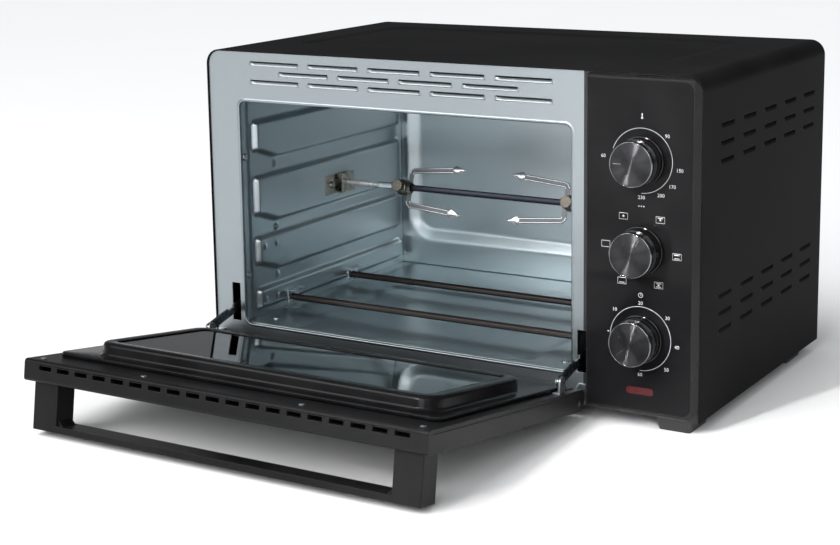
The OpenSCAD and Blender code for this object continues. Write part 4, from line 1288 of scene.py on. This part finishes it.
@dataclass
class Knob:
    """Turned knob with grooves, bright cut ring and spun face.

    Each profile lists the radius and the distance out of the panel, in millimetres.
    """

    key: str
    pointer: float
    body_profile: tuple = (
        (0.0, 0.3), (19.6, 0.3), (20.4, 0.5), (20.5, 0.9), (20.5, 2.1), (20.35, 2.45), (19.95, 2.6),
        (19.9, 3.0), (19.5, 12.6), (19.4, 12.9), (18.95, 13.05), (18.95, 13.7), (19.35, 13.85),
        (19.35, 14.8), (18.9, 14.95), (18.9, 15.6), (19.3, 15.75), (19.28, 16.7), (18.85, 16.85),
        (18.85, 17.4), (19.25, 17.55), (19.15, 19.6), (18.9, 19.9), (17.2, 19.9))
    ring_profile: tuple = (
        (19.0, 19.6), (19.12, 19.9), (19.08, 20.5), (18.9, 21.1), (18.7, 21.4), (18.5, 21.5),
        (18.2, 21.45), (18.0, 21.2), (17.95, 20.4))
    face_profile: tuple = ((18.0, 20.7), (17.8, 20.95), (17.4, 21.0), (8.0, 20.85), (0.6, 20.7), (0.0, 20.7))

    def centre(self) -> Vector:
        """Returns the middle of the knob's base."""
        low, high = box_of(f"{self.key}_knob")
        return Vector(((low.x + high.x) / 2, high.y, (low.z + high.z) / 2))

    def part(self, suffix: str, shape: Shape, finish: Finish, *stands_for: str) -> None:
        """Adds one part with its origin on the knob's axis.

        Args:
            suffix: End of the piece name.
            shape: Points and faces around the axis.
            finish: Its finish.
            stands_for: CAD nodes it replaces.
        """
        body = f"knob_{self.key}"
        piece = add_piece(f"{self.key}_knob_{suffix}", *shape, finish, body, stands_for=stands_for, sharp=28)
        piece.location = self.centre()
        bpy.context.view_layer.update()
        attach(piece, body)

    def build(self) -> None:
        """Builds the knob."""
        for suffix, profile, finish, nodes in (("body", self.body_profile, KNOB, [f"{self.key}_knob"]),
                                               ("ring", self.ring_profile, RIM, []),
                                               ("disc", self.face_profile, SPUN, [f"{self.key}_face"])):
            shape = lathe([(r * MM, -out * MM) for r, out in profile], Axis.Y, 128)
            self.part(suffix, shape, finish, *nodes)
        a = math.radians(self.pointer)
        out = Vector((math.sin(a), 0, math.cos(a)))
        side = Vector((math.cos(a), 0, -math.sin(a))) * 0.28 * MM
        rings = []
        for reach, lift in ((9.0, 20.87), (9.2, 21.0), (15.6, 21.12), (15.9, 20.95)):
            base = out * reach * MM + Vector((0, -lift * MM, 0))
            foot = out * reach * MM + Vector((0, -20.6 * MM, 0))
            rings.append([foot - side * 1.3, base - side, base + side, foot + side * 1.3])
        self.part("pointer", loft(rings, True, True), RIM)
        dress(ZINC, f"{self.key}_shaft")
        LOG.info("knob %s: body, ring, face and pointer built", self.key)


@dataclass
class Panel:
    """Control panel: bezel, gloss fascia, printed scales, lens and knobs."""

    datum: Datum
    temp_marks: tuple = (("60", 273, 34.5), ("90", 46, 31.0), ("150", 100, 34.0), ("170", 126, 33.5),
                         ("200", 148, 32.6), ("230", 180, 30.6))
    timer_marks: tuple = (("10", 314, 32.5), ("20", 0, 30.4), ("30", 50, 31.6), ("40", 96, 33.0),
                          ("50", 135, 33.6), ("60", 180, 31.0))
    icons: tuple = ((330, Icon.FAN), (32, Icon.TOP_FAN), (94, Icon.BOTH), (150, Icon.BOTH_FAN),
                    (212, Icon.BOTTOM), (275, Icon.NONE))
    sign_up: float = 37.2 * MM
    temp_arc: float = 27.0 * MM
    timer_arc: float = 27.4 * MM
    icon_r: float = 32.0 * MM

    def build(self) -> None:
        """Builds the panel."""
        for finish, name in ((BEZEL, "panel_bezel"), (FASCIA, "panel_fascia"), (RED, "lamp_lens"),
                             (FOOT_PLASTIC, "lamp_holder")):
            dress(finish, name)
        knobs = {key: Knob(key, clock) for key, clock in (("temp", 270.0), ("prog", 30.0), ("timer", 230.0))}
        for knob in knobs.values():
            knob.build()
        temp, prog, timer = (knobs[k].centre() for k in ("temp", "prog", "timer"))
        scale = PanelPrint()
        scale.arc(temp, self.temp_arc, 288, 540)
        self.marks(scale, temp, self.temp_marks)
        x, z = temp.x, temp.z + self.sign_up
        scale.ribbon([(x, z - 1.4 * MM), (x, z + 2.0 * MM)], width=0.7 * MM)
        scale.dot(x, z - 1.8 * MM, 0.9 * MM)
        scale.build("temp_scale", self.datum.panel)
        scale = PanelPrint()
        for clock, icon in self.icons:
            scale.box(*scale.at(prog, self.icon_r, clock), icon)
        for k in (-1, 0, 1):
            x, z = prog.x + k * 2.2 * MM, prog.z + self.sign_up
            scale.ribbon([(x - 0.5 * MM, z), (x + 0.5 * MM, z)], width=1.0 * MM)
        scale.build("prog_scale", self.datum.panel)
        scale = PanelPrint()
        scale.arc(timer, self.timer_arc, 258, 540)
        scale.ribbon([scale.at(timer, 28.4 * MM, 276), scale.at(timer, 30.0 * MM, 276)], width=0.8 * MM)
        self.marks(scale, timer, self.timer_marks)
        middle = Vector((timer.x, 0, timer.z + self.sign_up))
        scale.arc(middle, 1.9 * MM, 0, 360)
        scale.ribbon([(middle.x, middle.z + 1.2 * MM), (middle.x, middle.z), (middle.x + 0.9 * MM, middle.z)])
        scale.build("timer_scale", self.datum.panel)
        LOG.info("panel: bezel, fascia, scales and three knobs built")

    def marks(self, scale: PanelPrint, centre: Vector, marks: Sequence[tuple[str, float, float]]) -> None:
        """Prints the numbers of one scale.

        Args:
            scale: Sheet to print on.
            centre: Middle of the knob.
            marks: Text, clock angle and radius in millimetres.
        """
        for text, clock, radius in marks:
            scale.number(text, *scale.at(centre, radius * MM, clock))


# ---------------------------------------------------------------- door


@dataclass
class Door:
    """Drop-down door: frame, pressed pan, two panes, handle and screws."""

    datum: Datum
    tilt: float = 8.56
    step: tuple = (-239.5, 138.0, 2.0, 221.0, 8.0)
    pan: tuple = (-209.0, 126.2, 61.0, 211.0, 18.0)
    n_in: float = 11.7
    n_step: float = 15.7
    n_pan: float = 27.7
    rim_in: float = 12.0
    seam_n: float = 7.9
    seam_x: tuple = (-249.62, 148.12)
    seam_reach: float = 251.12
    seam_r: float = 0.34 * MM
    sheet: float = 0.9 * MM

    def place(self) -> Matrix:
        """Returns the matrix from the door's own space, x, -s, n, to the open door."""
        return Matrix.Translation(self.datum.pivot) @ Matrix.Rotation(-math.radians(self.tilt), 4, "X")

    def ring(self, rect: tuple, off: float, n: float) -> Ring:
        """Returns one ring of the pressed pan, sizes in millimetres."""
        x0, x1, s0, s1, r = rect
        return [Vector((x * MM, y * MM, n * MM))
                for x, y in rounded(x0 - off, x1 + off, -s1 - off, -s0 + off, max(r + off, 0.5), 10)]

    def pressed_pan(self) -> None:
        """Builds the stepped plate and raised pan as one pressing."""
        low, mid, top, inner = self.n_in, self.n_step, self.n_pan, -self.rim_in
        steps = [(0, low), (0, mid - 1.0), (-0.12, mid - 0.5), (-0.45, mid - 0.14), (-1.0, mid)]
        pan = [(3.6, mid), (2.0, mid + 0.25), (0.8, mid + 1.0), (0.2, mid + 2.2), (0, mid + 3.4),
               (-0.25, top - 3.6), (-0.6, top - 2.1), (-1.5, top - 0.8), (-2.8, top - 0.15), (-4.2, top),
               (inner + 1.0, top), (inner + 0.2, top - 0.25), (inner, top - 0.8), (inner, top - 1.2)]
        rings = [self.ring(rect, *at) for rect, rows in ((self.step, steps), (self.pan, pan)) for at in rows]
        piece = add_piece("inner_pan_pressing", *loft(rings), PAN, "door", self.place(), ["inner_pan"],
                          sharp=50)
        thicken(piece, self.sheet)

    def seam(self) -> None:
        """Adds the fine ridge that runs around the sides of the frame."""
        (x0, x1), reach = self.seam_x, -self.seam_reach
        near, turn = reach + 5.12, reach + 1.72
        path = [(x1, -4.0), (x1, near), (x1 - 0.9, turn), (x1 - 3.4, reach),
                (x0 + 3.4, reach), (x0 + 0.9, turn), (x0, near), (x0, -4.0)]
        points = [Vector((x, y, self.seam_n)) * MM for x, y in path]
        add_piece("door_seam", *tube(points, self.seam_r, 8), DOOR_PAINT, "door", self.place(), sharp=60)

    def build(self) -> None:
        """Builds the door."""
        self.pressed_pan()
        self.seam()
        dress(DOOR_PAINT, "door_frame", "handle", rounding=0.5 * MM)
        dress(INNER_GLASS, "inner_glass")
        dress(OUTER_GLASS, "outer_glass")
        dress(ZINC, "door_screws", rounding=0.2 * MM)
        dress(ZINC, "door_pins")
        LOG.info("door: frame, pan, panes and handle built")


# ---------------------------------------------------------------- parts kept from the frame


def dress_hinges() -> None:
    """Dresses the ears, feet and arms of the two hinges."""
    dress(ZINC, "hinge_ears", "arm_feet", rounding=0.25 * MM)
    dress(ARM, "arm_left", "arm_right", rounding=0.25 * MM)
    LOG.info("hinges: ears, feet and arms dressed")


def dress_internals() -> None:
    """Dresses the switches, motor and wiring behind the covers."""
    dress(ZINC, "thermostat", "timer_unit", "timer_bell", "spit_motor")
    dress(FOOT_PLASTIC, "selector_switch")
    dress(CERAMIC, "terminal_block")
    dress(SLEEVE, "wire_harness")
    LOG.info("internals: switches, motor and wiring dressed")


# ---------------------------------------------------------------- rotisserie


SPIT_TILT = Matrix.Rotation(math.radians(-17), 4, "X")


@dataclass
class Fork:
    """Two-pronged meat fork: ribbed stamping on a brass hub."""

    side: Side
    hub_half: float = 5.0
    half_span: float = 17.5
    prong_w: float = 5.0
    prong_l: float = 62.0
    tip_l: float = 15.0
    tip_w: float = 10.0
    flare: float = 5.0
    thick: float = 0.9
    clear_of_bar: float = 3.8
    bore: float = 4.3

    def centreline(self) -> list[Point]:
        """Returns the middle of one prong in x, z, from hub to tip base."""
        x0, r, a = self.hub_half + 2.0, 4.0, math.radians(self.flare)
        points = [(x0, self.clear_of_bar), (x0, self.half_span - r)]
        for i in range(1, 7):
            t = (math.pi / 2 + a) * i / 6
            points.append((x0 + r - r * math.cos(t), self.half_span - r + r * math.sin(t)))
        px, pz = points[-1]
        length = self.prong_l - self.tip_l - r
        return points + [(px + length * math.cos(a), pz + length * math.sin(a))]

    def prong(self) -> list[Shape]:
        """Builds one prong: the flat blank, its two rolled edges and its arrow tip."""
        line = self.centreline()
        left, right = strip([(x * MM, z * MM) for x, z in line], self.prong_w * MM)
        outline = [(v.x, v.y) for v in left] + [(v.x, v.y) for v in reversed(right)]
        half = self.thick / 2 * MM
        blank, faces = prism(outline, -half, half)
        shapes = [([Vector((v.x, v.z, v.y)) for v in blank], faces)]
        for offset in (-1, 1):
            edge, _ = strip([(x * MM, z * MM) for x, z in line[1:]], offset * (self.prong_w - 1.1) * MM)
            shapes.append(tube([Vector((v.x, 0, v.y)) for v in edge], 1.0 * MM, 10, Vector((0, 1, 0))))
        (ax, az), (bx, bz) = line[-2], line[-1]
        along = Vector((bx - ax, 0, bz - az)).normalized()
        across = Vector((-along.z, 0, along.x))
        base = Vector((bx, 0, bz))
        rings = []
        for reach, width, thick in ((-0.4, self.prong_w, 1.6), (2.6, self.tip_w, 1.7),
                                    (7.0, self.tip_w * 0.62, 1.5), (12.0, self.tip_w * 0.25, 0.9),
                                    (self.tip_l - 0.2, 0.5, 0.4)):
            middle = base + along * reach
            rings.append([(middle + across * width / 2) * MM, (middle + Vector((0, thick / 2, 0))) * MM,
                          (middle - across * width / 2) * MM, (middle - Vector((0, thick / 2, 0))) * MM])
        shapes.append(loft(rings, True, True))
        return shapes

    def build(self, datum: Datum) -> None:
        """Builds the fork in place.

        Args:
            datum: Shared planes.
        """
        word = "left" if self.side is Side.LEFT else "right"
        body = f"fork_{word}"
        low, high = box_of(f"thumb_{word}")
        centre = Vector(((low.x + high.x) / 2, datum.spit_y, datum.spit_z))
        way = 1 if self.side is Side.LEFT else -1
        place = Matrix.Translation(centre) @ SPIT_TILT @ Matrix.Diagonal((way, 1, 1, 1))
        flip = Matrix.Diagonal((1, 1, -1, 1))
        upper = self.prong()
        lower = [([flip @ v for v in verts], faces) for verts, faces in self.prong()]
        add_piece(f"{body}_prongs", *merged(upper[1:] + lower[1:]), CHROME, body, place, [body], sharp=40,
                  bevel=0.3 * MM)
        # painted shade: the flat blanks take the darker copy of the chrome, a dark line between bright edges
        add_piece(f"{body}_painted_shade_blank", *merged(upper[:1] + lower[:1]), PAINTED_SHADE_BLANK, body, place, sharp=40)
        bore, end = self.bore, self.hub_half
        profile = [(bore, -end), (7.3, -end), (7.9, -4.4), (8.0, -3.8), (8.0, 2.6), (7.7, 3.2), (7.7, 4.2),
                   (7.2, end), (bore, end), (bore, -end)]
        hub = lathe([(r * MM, x * MM) for r, x in profile], Axis.X, 64)
        add_piece(f"{body}_hub", *hub, NICKEL, body, place, sharp=30)
        bore += 0.6
        profile = [(bore, end), (5.8, end), (6.2, 5.5), (6.2, 8.6), (5.8, 9.2), (bore, 9.2), (bore, end)]
        nut = lathe([(r * MM, x * MM) for r, x in profile], Axis.X, 6)
        add_piece(f"{body}_nut", *nut, NICKEL, body, place, sharp=20, bevel=0.3 * MM)
        dress(SHADED_NICKEL_COPY, f"thumb_{word}", rounding=0.25 * MM)


@dataclass
class Rotisserie:
    """Spit rod with its bracket, drive socket and two forks."""

    datum: Datum
    half: float = 3.0 * MM
    shaft_l: float = 43.0 * MM

    def build(self) -> None:
        """Builds the rotisserie."""
        low, high = box_of("spit_rod")
        fork_low, fork_high = box_of("thumb_left")
        fork_x = (fork_low.x + fork_high.x) / 2
        d = self.datum
        place = Matrix.Translation((0, d.spit_y, d.spit_z)) @ SPIT_TILT
        x = low.x
        profile = [(0, 0), (2.2, 0), (2.5, 0.4), (2.5, 8.3), (3.1, 8.5), (3.25, 8.8), (3.25, 35.2),
                   (2.9, 35.8), (2.0, 36.2), (2.0, 42.4), (2.6, 43.0), (2.9, 43.4), (2.9, 44.2), (0, 44.2)]
        shaft = lathe([(r * MM, x + h * MM) for r, h in profile], Axis.X, 48)
        add_piece("spit_shaft", *shaft, PAINTED_HIGHLIGHT_SHAFT, "spit", place, sharp=30)
        h, start = self.half, x + self.shaft_l
        # one rod in two tones: chrome up to the fork, and the painted-shade copy beyond it
        for name, x0, x1, finish, stands in (("spit_bar_bright", start, fork_x, CHROME, ()),
                                             ("spit_bar_painted_shade", fork_x, high.x, PAINTED_SHADE_BAR, ("spit_rod",))):
            rings = [[Vector((at, y, z)) for y, z in rounded(-h, h, -h, h, 0.6 * MM, 3)] for at in (x0, x1)]
            add_piece(name, *loft(rings, True, True), finish, "spit", place, stands)
        dress(NICKEL, "spit_bracket", rounding=0.25 * MM)
        dress(ZINC, "drive_socket", rounding=0.3 * MM)
        for side in Side:
            Fork(side).build(d)
        LOG.info("rotisserie: rod, forks, bracket and socket built")


# ---------------------------------------------------------------- studio


@dataclass(frozen=True)
class Lamp:
    """Rectangular soft light, hidden from the camera; sizes in metres, power in watts, spread in degrees."""

    name: str
    at: tuple
    aim: tuple
    size: Point
    power: float
    spread: float = 180.0

    def light(self) -> None:
        """Adds the lamp."""
        data = bpy.data.lights.new(self.name, "AREA")
        data.shape = "RECTANGLE"
        data.size, data.size_y = self.size
        data.energy = self.power
        data.spread = math.radians(self.spread)
        holder = bpy.data.objects.new(self.name, data)
        holder.location = self.at
        holder.rotation_euler = (Vector(self.aim) - Vector(self.at)).to_track_quat("-Z", "Y").to_euler()
        holder.visible_camera = False
        bpy.context.scene.collection.objects.link(holder)


@dataclass
class Studio:
    """Plain pale floor, soft lights and the camera."""

    yaw: float = 31.334
    pitch: float = 10.742
    roll: float = -0.862
    eye: tuple = (0.7789, -1.3283, 0.4771)
    lens: float = 75.29
    shift: float = -0.1
    ambient: float = 0.42
    reflected: float = 0.2
    floor_r: float = 14.0
    lamps: tuple = (
        Lamp("front_softbox", (-1.5, -2.3, 1.5), (-0.05, -0.1, 0.12), (1.6, 1.2), 34),
        Lamp("front_fill", (0.55, -1.9, 0.8), (-0.05, 0.15, 0.12), (0.9, 0.9), 13),
        Lamp("knob_light", (-0.02, -0.93, 0.62), (0.2, -0.1, 0.16), (0.05, 0.3), 0.28, 26.0),
        Lamp("right_strip", (1.5, -1.5, 1.1), (0.2, -0.1, 0.15), (0.25, 1.3), 5))

    def camera(self) -> None:
        """Creates the camera."""
        data = bpy.data.cameras.new("camera")
        data.sensor_width = 36.0
        data.lens = self.lens
        data.shift_y = self.shift
        data.clip_end = 60.0
        holder = bpy.data.objects.new("camera", data)
        yaw, pitch, roll = (math.radians(v) for v in (self.yaw, self.pitch, self.roll))
        ahead = Vector((-math.sin(yaw) * math.cos(pitch), math.cos(yaw) * math.cos(pitch), -math.sin(pitch)))
        right = Vector((math.cos(yaw), math.sin(yaw), 0))
        up = right.cross(ahead)
        r2 = right * math.cos(roll) + up * math.sin(roll)
        u2 = up * math.cos(roll) - right * math.sin(roll)
        holder.matrix_world = Matrix.Translation(self.eye) @ Matrix((r2, u2, -ahead)).transposed().to_4x4()
        bpy.context.scene.collection.objects.link(holder)
        bpy.context.scene.camera = holder
        bpy.context.scene.view_settings.view_transform = "Standard"

    def world(self) -> None:
        """Sets the pale surroundings, dimmer for reflections than for the eye."""
        world = bpy.data.worlds.new("studio")
        world.use_nodes = True
        tree = world.node_tree
        shade = tree.nodes["Background"]
        shade.inputs["Color"].default_value = (0.95, 0.97, 1.0, 1.0)
        path = tree.nodes.new("ShaderNodeLightPath")
        strength = None
        for ray, level in (("Is Glossy Ray", self.reflected), ("Is Camera Ray", 1.0)):
            mix = tree.nodes.new("ShaderNodeMix")
            mix.inputs["A"].default_value = self.ambient
            mix.inputs["B"].default_value = level
            tree.links.new(path.outputs[ray], mix.inputs["Factor"])
            if strength is not None:
                tree.links.new(strength, mix.inputs["A"])
            strength = mix.outputs["Result"]
        tree.links.new(strength, shade.inputs["Strength"])
        bpy.context.scene.world = world

    def floor(self) -> None:
        """Adds the floor."""
        r, steps = self.floor_r, 64
        turns = (2 * math.pi * i / steps for i in range(steps))
        ring = [(r * math.cos(a), r * math.sin(a), 0) for a in turns]
        mesh = bpy.data.meshes.new("studio_floor")
        mesh.from_pydata(ring, [], [list(range(steps))])
        mesh.materials.append(PAPER.material())
        piece = bpy.data.objects.new("studio_floor", mesh)
        bpy.context.scene.collection.objects.link(piece)

    def build(self) -> None:
        """Builds the studio."""
        self.camera()
        self.world()
        self.floor()
        sun = bpy.data.lights.new("sky_panel", "SUN")
        sun.energy = 2.3
        sun.angle = math.radians(45)
        holder = bpy.data.objects.new("sky_panel", sun)
        holder.rotation_euler = (math.radians(28), math.radians(-18), 0)
        holder.visible_glossy = False
        bpy.context.scene.collection.objects.link(holder)
        for lamp in self.lamps:
            lamp.light()
        LOG.info("studio: camera, floor and lights set")


# ---------------------------------------------------------------- main


def main() -> None:
    """Builds the oven and its studio."""
    logging.basicConfig(level=logging.INFO, format="%(name)s: %(message)s")
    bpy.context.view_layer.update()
    datum = Datum.read()
    Studio().build()
    Cabinet().build()
    FrontSteel(datum).build()
    Cavity(datum).build()
    Panel(datum).build()
    Door(datum).build()
    dress_hinges()
    Rotisserie(datum).build()
    dress_internals()


if __name__ == "__main__":
    main()
